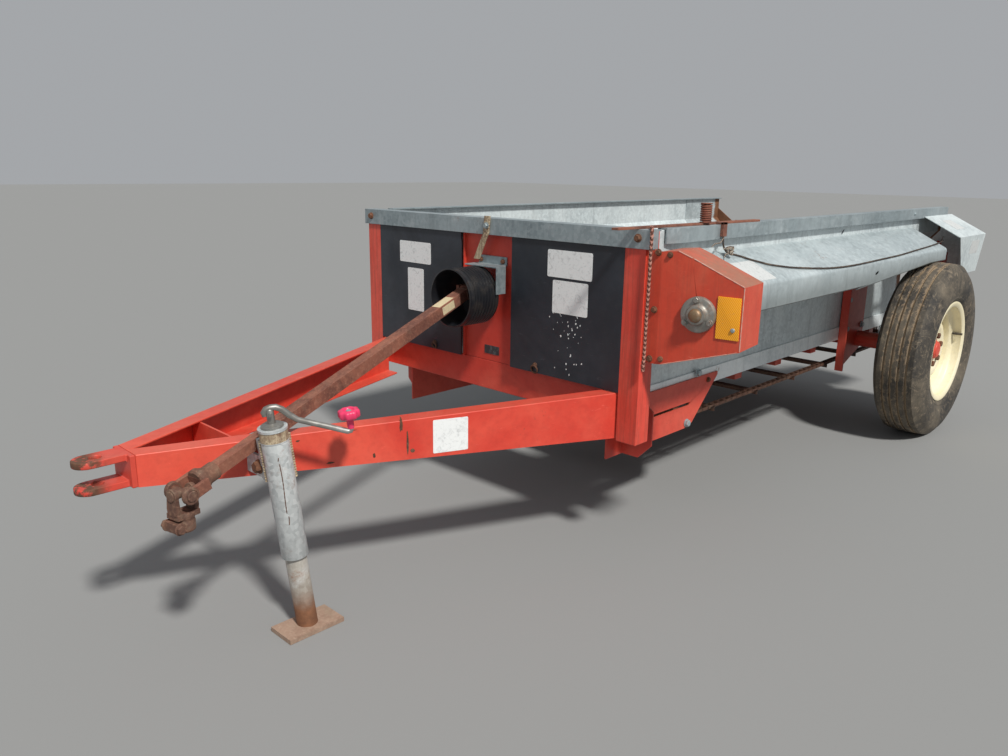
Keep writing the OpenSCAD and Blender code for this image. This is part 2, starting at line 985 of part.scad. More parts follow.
module hub() {
    flange_r = 76;
    flange_face = disc_y + 12 - seat;
    flange_t = 10;
    cap_r = 30;
    rotate([-90, 0, 0])
        difference() {
            union() {
                translate([0, 0, hub_inner_y - wheel_y])
                    cylinder(r = hub_r, h = hub_outer_y - hub_inner_y - 24);
                translate([0, 0, flange_face - flange_t - wheel_y])
                    cylinder(r = flange_r, h = flange_t);
                translate([0, 0, hub_outer_y - 26 - wheel_y])
                    cylinder(r1 = cap_r, r2 = cap_r - 6, h = 26);
            }
            translate([0, 0, hub_inner_y - fuse - wheel_y])
                cylinder(r = spindle_r + running, h = hub_outer_y - hub_inner_y - 16 + fuse);
        }
}

module at_left_wheel() {
    at_posts()
        translate([-axle_back, wheel_y, axle_z])
            children();
}

module at_right_wheel() {
    mirror([0, 1, 0])
        at_left_wheel()
            children();
}

module tyre_left() {
    color(black)
        at_left_wheel()
            tyre();
}

module tyre_right() {
    color(black)
        at_right_wheel()
            tyre();
}

module wheel_rim_left() {
    color(cream)
        at_left_wheel()
            wheel_rim();
}

module wheel_rim_right() {
    color(cream)
        at_right_wheel()
            wheel_rim();
}

module hub_left() {
    color(red)
        at_left_wheel()
            hub();
}

module hub_right() {
    color(red)
        at_right_wheel()
            hub();
}

// Driveline

// Section of the shield: a slope from the wall, a round bend, an upright nose and a short lip
module driveline_shield() {
    wall = post_y - post_t;
    slope_angle = atan(shield_slope);
    nose_top = shield_top - shield_drop;
    bend_y = shield_nose_y - shield_bend_r;
    bend_z = nose_top - shield_bend_r * (1 - sin(slope_angle)) / cos(slope_angle);
    low = nose_top - shield_nose;
    lip = 10;
    steps = 5;
    front = -120;
    outer_bend = [
        for (i = [0:steps])
            let (a = (90 - slope_angle) * (1 - i / steps))
            [bend_y + shield_bend_r * cos(a), bend_z + shield_bend_r * sin(a)]
    ];
    inner_bend = [
        for (i = [steps:-1:0])
            let (a = (90 - slope_angle) * (1 - i / steps), inner_r = shield_bend_r - shield_t)
            [bend_y + inner_r * cos(a), bend_z + inner_r * sin(a)]
    ];
    rear = -shield_rear_back;
    // The nose grows shallower towards the rear, to clear the tyre
    shallow_run = 190;
    deep_from = 940;
    rear_low = 2 * tyre_r + turn_gap;
    color(galvanised)
        at_posts()
            difference() {
                cross_section(rear, front, concat(
                    [[wall, shield_top]],
                    outer_bend,
                    [
                        [shield_nose_y, low + 6],
                        [shield_nose_y - lip, low],
                        [shield_nose_y - lip - shield_t, low + shield_t],
                        [shield_nose_y - shield_t, low + 8]
                    ],
                    inner_bend,
                    [[wall, shield_top - shield_t / cos(slope_angle)]]
                ));
                side_plate(bend_y - lip, shield_nose_y + fuse, [
                    [rear - fuse, low - fuse],
                    [rear - fuse, rear_low],
                    [rear + shallow_run, rear_low],
                    [rear + deep_from, low],
                    [rear + deep_from, low - fuse]
                ]);
            }
}

// Outline of the guard's plate: sideways from its fold, and height; inset by a distance
function guard_outline(inset) = [
    [-inset, input_height - 134 + inset],
    [-inset, angle_bottom - 2 - inset],
    [46, angle_bottom + 2 - inset],
    [84 - inset / 3, angle_bottom - 13 - inset],
    [226 - inset, input_height + 92 - inset],
    [226 - inset, input_height - 71 + inset],
    [16, input_height - 132 + inset]
];

// Places a drawing of the guard's plate: its X sideways, its Y up, and its Z rearward
module on_guard() {
    translate([guard_front_x, post_y + guard_fold, 0])
        rotate([0, 0, guard_sweep])
            rotate([90, 0, 90])
                mirror([0, 0, 1])
                    children();
}

module front_guard() {
    low = input_height - 134;
    high = angle_bottom - 2;
    color(red)
        at_posts() {
            on_guard()
                difference() {
                    linear_extrude(guard_depth)
                        polygon(guard_outline(0));
                    translate([0, 0, guard_t])
                        linear_extrude(guard_depth)
                            polygon(guard_outline(guard_t));
                    translate([guard_bearing[0], guard_bearing[1], -fuse])
                        cylinder(r = drive_shaft_r + turn_gap, h = guard_t + 2 * fuse);
                }
            // Mounting strip, folded back along the post
            block(
                [guard_front_x - guard_t, post_y + seat, low],
                [guard_front_x, post_y + guard_fold + fuse / 4, high]
            );
            block([-post_depth, post_y + seat, low], [guard_front_x, post_y + seat + guard_t, high]);
        }
}

module reflector() {
    low = [guard_bearing[0] + bearing_r + 1, input_height - 42];
    high = [222, input_height + 66];
    color([0.95, 0.55, 0.05])
        at_posts()
            on_guard()
                translate([low[0], low[1], -seat - 3])
                    cube([high[0] - low[0], high[1] - low[1], 3]);
}

module drive_bearing() {
    flange_t = 14;
    color(galvanised)
        at_posts()
            on_guard()
                translate([guard_bearing[0], guard_bearing[1], -seat]) {
                    mirror([0, 0, 1]) {
                        cylinder(r = bearing_r, h = flange_t);
                        cylinder(r = 25, h = flange_t + 12);
                        cylinder(r = drive_shaft_r, h = flange_t + 22);
                    }
                    translate([0, 0, -fuse])
                        cylinder(r = drive_shaft_r, h = bearing_stub + fuse);
                }
}

// Long shaft under the shield, with the closed gear case behind the guard that drives it
module drive_shaft() {
    case_low = [40, input_height - 34];
    case_high = [guard_bearing[0] + 36, input_height + 56];
    color(rust)
        at_posts() {
            rod(drive_front, drive_rear, drive_shaft_r);
            on_guard()
                translate([case_low[0], case_low[1], guard_case_start])
                    cube([case_high[0] - case_low[0], case_high[1] - case_low[1],
                          guard_case_end - guard_case_start]);
        }
}

module beater_gearbox() {
    front = drive_rear[0] - 3 * seat;
    low = [front - 130, post_y - 38, beater_height - 70];
    high = [front, post_y + 55, beater_height + 76];
    arm_rise = 60;
    color(red)
        at_posts() {
            difference() {
                block(low, high);
                translate([beater_x, low[1] - fuse, beater_height])
                    rotate([-90, 0, 0])
                        cylinder(r = beater_shaft_r + running, h = high[1] - low[1] + 2 * fuse);
            }
            // Arm that bolts the housing to the flared wall
            cross_section(low[0], high[0], [
                [low[1] + fuse, high[2]],
                [flare_y(high[2]), high[2]],
                [flare_y(high[2] - 30), high[2] - 30],
                [low[1] + fuse, high[2] - 30]
            ]);
            // Shift arm that the control cord pulls
            block([high[0] - 14, high[1] - 18, high[2] - fuse], [high[0], high[1], high[2] + arm_rise]);
        }
}

// Where a piece that rests on the flared wall ends, at a height
function flare_y(z) = lower_y + (z - flare_bottom) * flare_run + seat * 1.5;

// Hood over the rear end of the driveline, open to the front and below
module rear_hood() {
    front = -bed_length - hood_overhang + hood_length;
    rear = -bed_length - hood_overhang;
    inner = rim_y + seat;
    outer = post_y + hood_reach;
    top = rim_top - 34;
    knee = top - 81;
    low = beater_height - 8;
    lean_in = 20;
    front_slant = 160;
    color(galvanised)
        at_posts() {
            difference() {
                cross_section(rear, front, [
                    [inner, low],
                    [inner, top],
                    [outer, knee],
                    [outer - lean_in, low]
                ]);
                cross_section(rear + shield_t, front + fuse, [
                    [inner - fuse, low - fuse],
                    [inner - fuse, top - shield_t + fuse],
                    [inner, top - shield_t],
                    [outer - shield_t, knee - shield_t],
                    [outer - lean_in - shield_t, low - fuse]
                ]);
                // The outer face's front edge slants back towards its foot
                side_plate(inner, outer + fuse, [
                    [front - front_slant, low - fuse],
                    [front, knee],
                    [front + fuse, knee],
                    [front + fuse, low - fuse]
                ]);
            }
            // Rear sheet that closes the space behind the flared wall
            cross_section(rear, rear + shield_t, [
                [post_y - 60, low],
                [post_y - 60, top],
                [inner + fuse, top],
                [inner + fuse, low]
            ]);
        }
}

module beater() {
    tube_half = lower_y - rear_plate_t - turn_gap - 4;
    left_end = post_y + 50;
    right_end = lower_y + 38;
    spacing = (2 * tube_half - paddle_width - 20) / (paddle_pairs - 1);
    color(rust)
        at_posts()
            translate([beater_x, 0, beater_height]) {
                rotate([-90, 0, 0]) {
                    translate([0, 0, -right_end])
                        cylinder(r = beater_shaft_r, h = left_end + right_end);
                    translate([0, 0, -tube_half])
                        cylinder(r = beater_tube_r, h = 2 * tube_half);
                }
                for (i = [0:paddle_pairs - 1]) {
                    y = -tube_half + 10 + i * spacing;
                    rotate([0, i * 60, 0])
                        translate([-paddle_t / 2, y, -beater_r])
                            cube([paddle_t, paddle_width, 2 * beater_r]);
                }
            }
}

// Power shaft

bell_rear_x = 25;
bell_z = input_height - bell_drop;
input_stub_r = 16;

// Bell that hangs under its bracket, with a wide hole round the input shaft
module pto_bell() {
    color(black)
        at_posts()
            translate([bell_rear_x, 0, bell_z])
                rotate([0, 90, 0])
                    difference() {
                        cylinder(r = bell_r, h = bell_length);
                        translate([0, 0, bell_t])
                            cylinder(r = bell_r - bell_t, h = bell_length);
                        translate([0, 0, -fuse])
                            cylinder(r = input_stub_r + bell_drop + turn_gap, h = bell_t + 2 * fuse);
                    }
}

// Bent plate on the front of the centre plate, over and beside the bell
module bell_bracket() {
    t = 4;
    right = -47;
    left = bell_r + seat;
    rear = -front_setback + seat;
    front = bell_rear_x + 20;
    low = bell_z + bell_r + seat;
    color(galvanised)
        at_posts() {
            block([rear, right, low], [front, left - 14, low + t]);
            block([bell_rear_x - 20, left - 16, low], [front, left + t, low + t]);
            block([rear, right, low], [rear + t, left - 14, low + 28]);
            block([bell_rear_x - 20, left, bell_z + 10], [front, left + t, low + t]);
        }
}

shaft_pivot = [bell_rear_x + 50, 0, input_height];

// The shaft's inner lower edge rests on the left rail's outer top edge: where, and the slope
rail_run_in = (rail_rear_y - hitch_half) / (rail_reach - rail_start_x);
contact_x = (rail_rear_y + rail_run_in * rail_start_x + tan(shaft_swing) * shaft_pivot[0]
    + shaft_side / 2 / cos(shaft_swing)) / (tan(shaft_swing) + rail_run_in);
contact_run = (contact_x - shaft_pivot[0]) * cos(shaft_swing) + rail_y_at(contact_x) * sin(shaft_swing);
contact_drop = shaft_pivot[2] - rail_top_at(contact_x) - seat;
shaft_slope = acos(shaft_side / 2 / norm([contact_drop, contact_run])) - atan2(contact_run, contact_drop);

// Distance along the shaft to the place beside the jack, and the lengths that follow
jack_at_shaft_x = jack_reach + rail_top_front * tan(jack_lean);
beside_jack = ((jack_at_shaft_x - shaft_pivot[0]) * cos(shaft_swing) + jack_side * sin(shaft_swing))
    / cos(shaft_slope);
shaft_length = beside_jack + shaft_past_jack;
shaft_outer_length = beside_jack - outer_end_back;

// Places a drawing of the resting power shaft, with its X along the shaft
module along_shaft() {
    translate(shaft_pivot)
        rotate([0, 0, shaft_swing])
            rotate([0, shaft_slope, 0])
                children();
}

joint_pin_r = 9;
fork_inner = 24;
fork_outer = 34;

// Stub out of the centre plate, with the fork of the rear joint
module input_shaft() {
    fork_half = 15;
    color(rust)
        at_posts() {
            rod(
                [-centre_back + seat, 0, input_height],
                [shaft_pivot[0] - 22, 0, input_height],
                input_stub_r
            );
            translate(shaft_pivot)
                rotate([0, 0, shaft_swing]) {
                    block([-30, -fork_outer, -fork_half], [-20, fork_outer, fork_half]);
                    for (side = [-1, 1])
                        block_pair(side, [-22, -fork_half], [14, fork_half]);
                    translate([0, -fork_outer, 0])
                        rotate([-90, 0, 0])
                            cylinder(r = joint_pin_r, h = 2 * fork_outer);
                }
        }
}

// One arm of a fork, from its low and high corners in X and Z
module block_pair(side, low, high) {
    middle = side * (fork_inner + fork_outer) / 2;
    half = (fork_outer - fork_inner) / 2;
    block([low[0], middle - half, low[1]], [high[0], middle + half, high[1]]);
}

module pto_shaft() {
    outer = shaft_side / 2;
    inner = shaft_inner_side / 2;
    hub_half = fork_inner - seat;
    fork_end = shaft_length + inner;
    color(rust)
        at_posts()
            along_shaft() {
                difference() {
                    union() {
                        translate([0, -hub_half, 0])
                            rotate([-90, 0, 0])
                                cylinder(r = joint_pin_r + 6, h = 2 * hub_half);
                        block([5, -12, -12], [32, 12, 12]);
                    }
                    translate([0, -fork_outer, 0])
                        rotate([-90, 0, 0])
                            cylinder(r = joint_pin_r + running, h = 2 * fork_outer);
                }
                block([28, -outer, -outer], [shaft_outer_length, outer, outer]);
                difference() {
                    union() {
                        block([30, -inner, -inner], [shaft_length - 40, inner, inner]);
                        block([shaft_length - 50, -fork_outer, -inner], [shaft_length - 38, fork_outer, inner]);
                        for (side = [-1, 1])
                            block_pair(side, [shaft_length - 50, -inner], [fork_end, inner]);
                    }
                    translate([shaft_length, -2 * fork_outer, 0])
                        rotate([-90, 0, 0])
                            cylinder(r = joint_pin_r + running, h = 4 * fork_outer);
                }
            }
}

// The front yoke hangs straight down from the end of the shaft
module pto_yoke() {
    tip = shaft_pivot + [
        shaft_length * cos(shaft_slope) * cos(shaft_swing),
        shaft_length * cos(shaft_slope) * sin(shaft_swing),
        -shaft_length * sin(shaft_slope)
    ];
    hub_top = -40;
    hub_length = 44;
    yoke_hub_r = 23;
    arm_x = 28;
    color(rust)
        at_posts()
            translate(tip)
                rotate([0, 0, shaft_swing])
                    difference() {
                        union() {
                            translate([0, -fork_outer, 0])
                                rotate([-90, 0, 0])
                                    cylinder(r = joint_pin_r, h = 2 * fork_outer);
                            translate([-arm_x, 0, 0])
                                rotate([0, 90, 0])
                                    cylinder(r = joint_pin_r, h = 2 * arm_x);
                            for (side = [-1, 1])
                                block(
                                    [side * (arm_x - 5) - 5, -12, hub_top - 4],
                                    [side * (arm_x - 5) + 5, 12, 11]
                                );
                            block([-arm_x, -18, hub_top - 12], [arm_x, 18, hub_top]);
                            translate([0, 0, hub_top - hub_length])
                                cylinder(r = yoke_hub_r, h = hub_length);
                        }
                        translate([0, 0, hub_top - hub_length - fuse])
                            cylinder(r = yoke_bore_r, h = hub_length - 10 + fuse);
                    }
}

// Jack

// Places a drawing of the jack, with its Z up along the leg and its foot at the origin
module along_jack() {
    translate([jack_reach, jack_side, 0])
        rotate([0, jack_lean, 0])
            children();
}

// Outer tube, a collar round it and two lugs that reach the rail's web
module jack_tube() {
    lug_low = 400;
    lug_high = 450;
    lug_x = jack_reach + (lug_low + lug_high) / 2 * jack_lean_x;
    back_half = jack_r - 6;
    color(galvanised)
        at_posts()
            difference() {
                union() {
                    along_jack() {
                        translate([0, 0, jack_leg_shown])
                            cylinder(r = jack_r, h = jack_top - jack_leg_shown);
                        block([-back_half, -jack_r - 6, lug_low], [back_half, -jack_r + 4, lug_high + 55]);
                    }
                    for (x = [-24, 16])
                        block([lug_x + x, jack_side / 2, lug_low], [lug_x + x + 8, jack_side, lug_high]);
                }
                along_jack()
                    translate([0, 0, jack_leg_shown - fuse])
                        cylinder(r = jack_leg_r + running, h = jack_top - jack_leg_shown + 2 * fuse);
                translate([rail_start_x, rail_rear_y + seat, 0])
                    rotate([0, 0, -rail_angle])
                        block([0, -4 * rail_flange, 0], [rail_length, 0, rim_top]);
            }
}

module jack_leg() {
    head_room = 150;
    color(rust)
        at_posts() {
            along_jack()
                translate([0, 0, foot_t])
                    cylinder(r = jack_leg_r, h = jack_top - head_room - foot_t);
            translate([jack_reach, jack_side, 0])
                block(
                    [-foot_length / 2, -foot_width / 2, 0],
                    [foot_length / 2, foot_width / 2, foot_t + 4]
                );
        }
}

// Crank: a stem on the jack's top, an arm that slopes down and a lobed knob at its end
module jack_crank() {
    arm_r = 7;
    rise = 34;
    arm_drop = 82;
    knob_r = 26;
    knob_height = 22;
    knob_low = 13;
    turn = 152;
    color(galvanised)
        at_posts()
            along_jack() {
                translate([0, 0, jack_top + seat])
                    cylinder(r = jack_leg_r, h = 5);
                translate([0, 0, jack_top + seat])
                    cylinder(r = arm_r + 2, h = rise + 8);
                rotate([0, 0, turn]) {
                    rod([0, 0, jack_top + rise], [crank_reach, 0, jack_top + rise - arm_drop], arm_r);
                    translate([crank_reach, 0, jack_top + rise - arm_drop])
                        sphere(r = arm_r + 0.6);
                    translate([crank_reach, 0, jack_top + rise - arm_drop])
                        cylinder(r = arm_r - 1, h = arm_drop - rise - knob_low + fuse);
                    translate([crank_reach, 0, jack_top - knob_low])
                        cylinder(r = knob_r, h = knob_height);
                }
            }
}

// Lever, strap and cords

// Flat bar laid over the rim, its spring, and the stub bracket that holds the cord
module control_lever() {
    bar_z = rim_top + seat;
    bar_t = 6;
    bar_width = 22;
    stub_x = -spring_back - 61;
    stub_half = 11;
    color(rust)
        at_posts() {
            translate([0, 0, bar_z])
                linear_extrude(bar_t)
                    polygon([
                        [lever_front, post_y - 48],
                        [lever_front, post_y - 48 + bar_width],
                        [-lever_back, rim_y - 2],
                        [-lever_back, rim_y - 2 - bar_width]
                    ]);
            translate([-spring_back, rim_y - 21, bar_z])
                cylinder(r = 17, h = 62);
            block(
                [stub_x - stub_half, rim_y + seat, side_rail_bottom + 8],
                [stub_x + stub_half, rim_y + 10, bar_z + bar_t]
            );
            block(
                [stub_x - stub_half, rim_y - bar_width, bar_z],
                [stub_x + stub_half, rim_y + 10, bar_z + bar_t]
            );
        }
}

// Flat bar bolted to the rim, leaning down towards the bell's bracket
module rim_strap() {
    t = 5;
    half = 12;
    front = 2 * seat + rim_t;
    top = rim_top + 6;
    bend = top - 52;
    foot = bell_z + bell_r + 17;
    top_y = 16;
    foot_y = -31;
    color(rust)
        at_posts()
            translate([front, 0, 0])
                rotate([90, 0, 90])
                    linear_extrude(t)
                        polygon([
                            [top_y - half, top],
                            [top_y + half, top],
                            [top_y + half - 6, bend],
                            [foot_y + half, foot],
                            [foot_y - half, foot],
                            [top_y - half - 6, bend]
                        ]);
}

// Round tube swept along points, with flat ends
module swept_cord(points, r, sides) {
    count = len(points);
    rings = [
        for (i = [0:count - 1])
            let (
                ahead = points[min(i + 1, count - 1)] - points[max(i - 1, 0)],
                along = ahead / norm(ahead),
                guide = abs(along[2]) > 0.8 ? [1, 0, 0] : [0, 0, 1],
                across = cross(along, guide) / norm(cross(along, guide)),
                up = cross(across, along)
            )
            for (j = [0:sides - 1])
                points[i] + r * (cos(360 * j / sides) * across + sin(360 * j / sides) * up)
    ];
    skin = [
        for (i = [0:count - 2])
            for (j = [0:sides - 1])
                let (next = (j + 1) % sides)
                [i * sides + j, i * sides + next, (i + 1) * sides + next, (i + 1) * sides + j]
    ];
    first_end = [for (j = [sides - 1:-1:0]) j];
    last_end = [for (j = [0:sides - 1]) (count - 1) * sides + j];
    polyhedron(points = rings, faces = concat([first_end], skin, [last_end]));
}

// Point on a curve through the route points: u counts the points, with round corners
function curve_point(route, u) =
    let (
        last = len(route) - 1,
        i = min(floor(u), last - 1),
        t = u - i,
        a = route[max(i - 1, 0)],
        b = route[i],
        c = route[i + 1],
        d = route[min(i + 2, last)]
    )
    0.5 * (2 * b + t * (c - a) + t * t * (2 * a - 5 * b + 4 * c - d)
        + t * t * t * (3 * b - a - 3 * c + d));

function curve(route, steps) =
    [for (k = [0:(len(route) - 1) * steps]) curve_point(route, k / steps)];

control_cord_r = 3;
control_cord_route = [
    [-361, 617.5, 914.5], [-361, 618, 904], [-366, 617, 890], [-381, 615, 876],
    [-406.6, 612, 864.7], [-445.5, 630.9, 854.1], [-472.5, 650.1, 844.1], [-504.2, 667, 835.2],
    [-537.8, 683.3, 826.7], [-579.5, 695.8, 820.2], [-624.4, 707.3, 814.2], [-675.1, 716.6, 809.4],
    [-757.9, 729, 802.9], [-849.6, 739.4, 797.5], [-961.8, 743.4, 794.3], [-1088.7, 744.1, 793.4],
    [-1279, 742, 795.6], [-1490.2, 738.9, 797.7], [-1681.4, 730.1, 802.3], [-1890.2, 720.5, 807.3],
    [-2049.1, 710.8, 812.4], [-2108, 702, 814], [-2180, 684, 808], [-2222, 660, 798],
    [-2248, 645, 793], [-2259.9, 645, 793]
];

module control_cord() {
    color(rust)
        at_posts()
            swept_cord(curve(control_cord_route, 3), control_cord_r, 8);
}

hanging_rope_r = 5;
hanging_rope_route = [
    [-30, 590, 954.6], [-14, 601, 954.6], [-3, 609, 955], [4, 616.5, 953], [9, 619.5, 944],
    [11, 621, 925], [12, 621, 880], [13, 622, 830], [14, 622, 770], [14, 621, 710], [14, 621, 650],
    [14, 620, 600], [14, 620, 575]
];

module hanging_rope() {
    color([0.55, 0.35, 0.25])
        at_posts()
            swept_cord(curve(hanging_rope_route, 2), hanging_rope_r, 8);
}

tongue_rail_left();
tongue_rail_right();
tongue_gusset();
hitch_clevis();
front_cross_member();
corner_posts();
front_rim();
front_panels();
centre_plate();
front_wall();
side_walls();
side_rails();
rear_sides();
floor();
floor_cross_members();
sills();
front_brackets();
apron_chain();
apron_shafts();
axle();
axle_brackets();
driveline_shield();
front_guard();
reflector();
drive_bearing();
drive_shaft();
beater_gearbox();
rear_hood();
beater();
tyre_left();
tyre_right();
wheel_rim_left();
wheel_rim_right();
hub_left();
hub_right();
pto_bell();
bell_bracket();
input_shaft();
pto_shaft();
pto_yoke();
jack_tube();
jack_leg();
jack_crank();
control_lever();
rim_strap();
control_cord();
hanging_rope();
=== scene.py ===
"""Looks of a towed manure spreader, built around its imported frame.

Lengths are in millimetres and X counts forward from the front face of the front posts, as in
the part's own source. at() turns such a point into metres in the shared frame.
"""

import math
import random

import bmesh
import bpy
from mathutils import Matrix, Vector


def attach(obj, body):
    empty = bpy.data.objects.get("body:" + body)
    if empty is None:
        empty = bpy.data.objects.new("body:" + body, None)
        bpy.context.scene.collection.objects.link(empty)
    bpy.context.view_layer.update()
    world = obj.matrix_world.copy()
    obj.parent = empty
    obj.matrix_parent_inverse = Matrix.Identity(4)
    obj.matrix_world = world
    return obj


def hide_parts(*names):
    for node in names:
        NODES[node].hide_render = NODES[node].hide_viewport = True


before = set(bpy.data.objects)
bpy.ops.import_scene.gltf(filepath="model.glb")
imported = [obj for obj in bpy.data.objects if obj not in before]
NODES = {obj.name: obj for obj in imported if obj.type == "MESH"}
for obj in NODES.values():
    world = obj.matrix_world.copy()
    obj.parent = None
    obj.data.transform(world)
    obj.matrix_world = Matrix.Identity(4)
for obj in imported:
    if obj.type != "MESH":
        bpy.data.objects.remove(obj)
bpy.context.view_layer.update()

# The posts' front face in the shared frame, and the wheels' measures and centre
POST_X = 620.0
TYRE_R = 369.0
WHEEL_Y = 747.5
AXLE_X = -1939.0
RIM_R = 213.0
SEED = 7
TURN = 2 * math.pi
FRONTWARD = (1, 0, 0)
LEFTWARD = (0, 1, 0)
UPWARD = (0, 0, 1)


def at(x, y, z):
    """A point in millimetres from the posts, in metres in the shared frame."""
    return Vector(((x + POST_X) / 1000, y / 1000, z / 1000))


def spot(place, x, y, z):
    """A point in millimetres in a placing matrix, in metres in the shared frame."""
    return place @ (Vector((x, y, z)) / 1000)


def facing(centre, normal):
    """A placing matrix at a point, with its third axis along normal."""
    turn = Vector(normal).to_track_quat("Z", "Y").to_matrix().to_4x4()
    return Matrix.Translation(Vector(centre)) @ turn


def seat(place, x, y, z, axis):
    """A placing matrix at a point in mm of another one, its third axis along an axis there."""
    return facing(spot(place, x, y, z), place.to_3x3() @ Vector(axis))


def circle(steps, radius, start=0.0):
    """Points round a circle, as (across, up)."""
    angles = [start + TURN * k / steps for k in range(steps)]
    return [(radius * math.cos(angle), radius * math.sin(angle)) for angle in angles]


def new_object(name, data):
    """An object in the scene that shows the data."""
    obj = bpy.data.objects.new(name, data)
    bpy.context.scene.collection.objects.link(obj)
    return obj


# Camera, at the photograph's viewpoint


def make_camera():
    heading, pitch, roll = 3.90710, -0.25379, 0.01468
    level = math.cos(pitch)
    ahead = Vector((level * math.cos(heading), level * math.sin(heading), math.sin(pitch)))
    right = ahead.cross(Vector(UPWARD)).normalized()
    up = right.cross(ahead)
    tilted_right = math.cos(roll) * right + math.sin(roll) * up
    tilted_up = -math.sin(roll) * right + math.cos(roll) * up
    data = bpy.data.cameras.new("camera")
    data.lens = 29.17
    data.sensor_width = 36
    data.clip_start = 0.05
    data.clip_end = 200
    camera = new_object("camera", data)
    turn = Matrix((tilted_right, tilted_up, -ahead)).transposed().to_4x4()
    camera.matrix_world = Matrix.Translation(at(1810.6, 1828.5, 1104.0)) @ turn
    bpy.context.scene.camera = camera


make_camera()


# Mesh building

BOX_FACES = [(0, 2, 3, 1), (4, 5, 7, 6), (0, 1, 5, 4), (2, 6, 7, 3), (0, 4, 6, 2), (1, 3, 7, 5)]


class Shape:
    """Collects faces in metres, then becomes one object that rides on a body."""

    def __init__(self):
        self.points = []
        self.faces = []
        self.slots = []

    def add(self, points, faces, slot=0):
        first = len(self.points)
        self.points.extend(Vector(p) for p in points)
        self.faces += [[first + i for i in face] for face in faces]
        self.slots += [slot] * len(faces)

    def skin(self, rings, slots, ends=()):
        """Faces from each ring of points to the next, one span for each slot.

        ends lists the rings that get a face of their own: 0 the first, -1 the last.
        """
        first, turns = len(self.points), len(rings[0])
        for ring in rings:
            self.points.extend(ring)
        for i, slot in enumerate(slots):
            low, high = first + i * turns, first + (i + 1) % len(rings) * turns
            for k in range(turns):
                n = (k + 1) % turns
                self.faces.append([low + k, low + n, high + n, high + k])
                self.slots.append(slot)
        for end in ends:
            start = first + (len(rings) - 1) * turns if end else first
            face = list(range(start, start + turns))
            self.faces.append(face if end else face[::-1])
            self.slots.append(slots[end])

    def block(self, low, high, slot=0, place=None):
        """A box between two corners in mm, from the posts or in a placing matrix."""
        xs, ys, zs = zip(low, high)
        corners = [(x, y, z) for z in zs for y in ys for x in xs]
        points = [spot(place, *c) if place else at(*c) for c in corners]
        self.add(points, BOX_FACES, slot)

    def prism(self, outline, place, depth=0.6, slot=0):
        """A flat outline in mm, pushed along the third axis of a placing matrix."""
        count = len(outline)
        points = [spot(place, u, v, w) for w in (0, depth) for u, v in outline]
        faces = [list(range(count))[::-1], list(range(count, 2 * count))]
        faces += [(i, (i + 1) % count, count + (i + 1) % count, count + i) for i in range(count)]
        self.add(points, faces, slot)

    def lathe(self, profile, place, turns=64, slot=0, slots=None, closed=True):
        """A profile of (radius, height) in mm, turned about the third axis of a matrix."""
        rings = [[spot(place, x, y, h) for x, y in circle(turns, r)] for r, h in profile]
        spans = len(profile) if closed else len(profile) - 1
        self.skin(rings, slots or [slot] * spans)

    def disc_lathe(self, profile, place, turns=48, slot=0):
        """A lathe whose profile starts and ends on the axis."""
        inner = [p for p in profile if p[0]]
        first = len(self.points)
        self.lathe(inner, place, turns, slot, closed=False)
        for row, height in ((0, profile[0][1]), (len(inner) - 1, profile[-1][1])):
            centre = len(self.points)
            self.points.append(spot(place, 0, 0, height))
            for k in range(turns):
                a = first + row * turns + k
                b = first + row * turns + (k + 1) % turns
                self.faces.append([centre, a, b] if row else [centre, b, a])
                self.slots.append(slot)

    def tube(self, path, radius, sides=12, slot=0, lobes=0, depth=0.0, pitch=0.03):
        """A round bar or laid rope along points, all in metres."""
        path = [Vector(p) for p in path]
        radii = radius if isinstance(radius, list) else [radius] * len(path)
        across, run, rings = None, 0.0, []
        for i, point in enumerate(path):
            ahead = (path[min(i + 1, len(path) - 1)] - path[max(i - 1, 0)]).normalized()
            if across is None:
                guide = Vector(UPWARD if abs(ahead.z) < 0.9 else FRONTWARD)
                across = ahead.cross(guide).normalized()
            else:
                across = (across - ahead * across.dot(ahead)).normalized()
                run += (point - path[i - 1]).length
            side = ahead.cross(across)
            ring = []
            for k in range(sides):
                angle = TURN * k / sides
                wave = 0.5 + 0.5 * math.cos(lobes * (angle - TURN * run / pitch))
                r = radii[i] - depth * (1 - wave)
                ring.append(point + r * (math.cos(angle) * across + math.sin(angle) * side))
            rings.append(ring)
        self.skin(rings, [slot] * (len(path) - 1), (0, -1))

    def bolt(self, centre, normal, across, height, washer=True):
        """A hexagon head on a washer, facing along normal. centre is in metres."""
        place = facing(centre, normal)
        if washer:
            w = across * 0.72
            self.disc_lathe([(0, 0), (w, 0), (w, 2.2), (w * 0.92, 2.8), (0, 2.8)], place, 20)
        turned = place @ Matrix.Rotation(0.5 + centre[1] * 37 % 1.0, 4, "Z")
        r = across / math.sqrt(3)
        levels = ((r, 2), (r, height * 0.86), (r * 0.86, height))
        rings = [[spot(turned, x, y, h) for x, y in circle(6, q)] for q, h in levels]
        self.skin(rings, [0, 0], (-1,))

    def make(self, name, body, materials, replaces=(), bevel=0.0, angle=35):
        mesh = bpy.data.meshes.new(name)
        mesh.from_pydata([tuple(p) for p in self.points], [], self.faces)
        for material in materials:
            mesh.materials.append(material)
        mesh.polygons.foreach_set("material_index", self.slots)
        mesh.validate()
        tidy = bmesh.new()
        tidy.from_mesh(mesh)
        bmesh.ops.recalc_face_normals(tidy, faces=tidy.faces)
        tidy.to_mesh(mesh)
        tidy.free()
        mesh.shade_smooth()
        mesh.set_sharp_from_angle(angle=math.radians(angle))
        obj = new_object(name, mesh)
        if bevel:
            add_bevel(obj, bevel)
        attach(obj, body)
        if replaces:
            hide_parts(*replaces)
        return obj


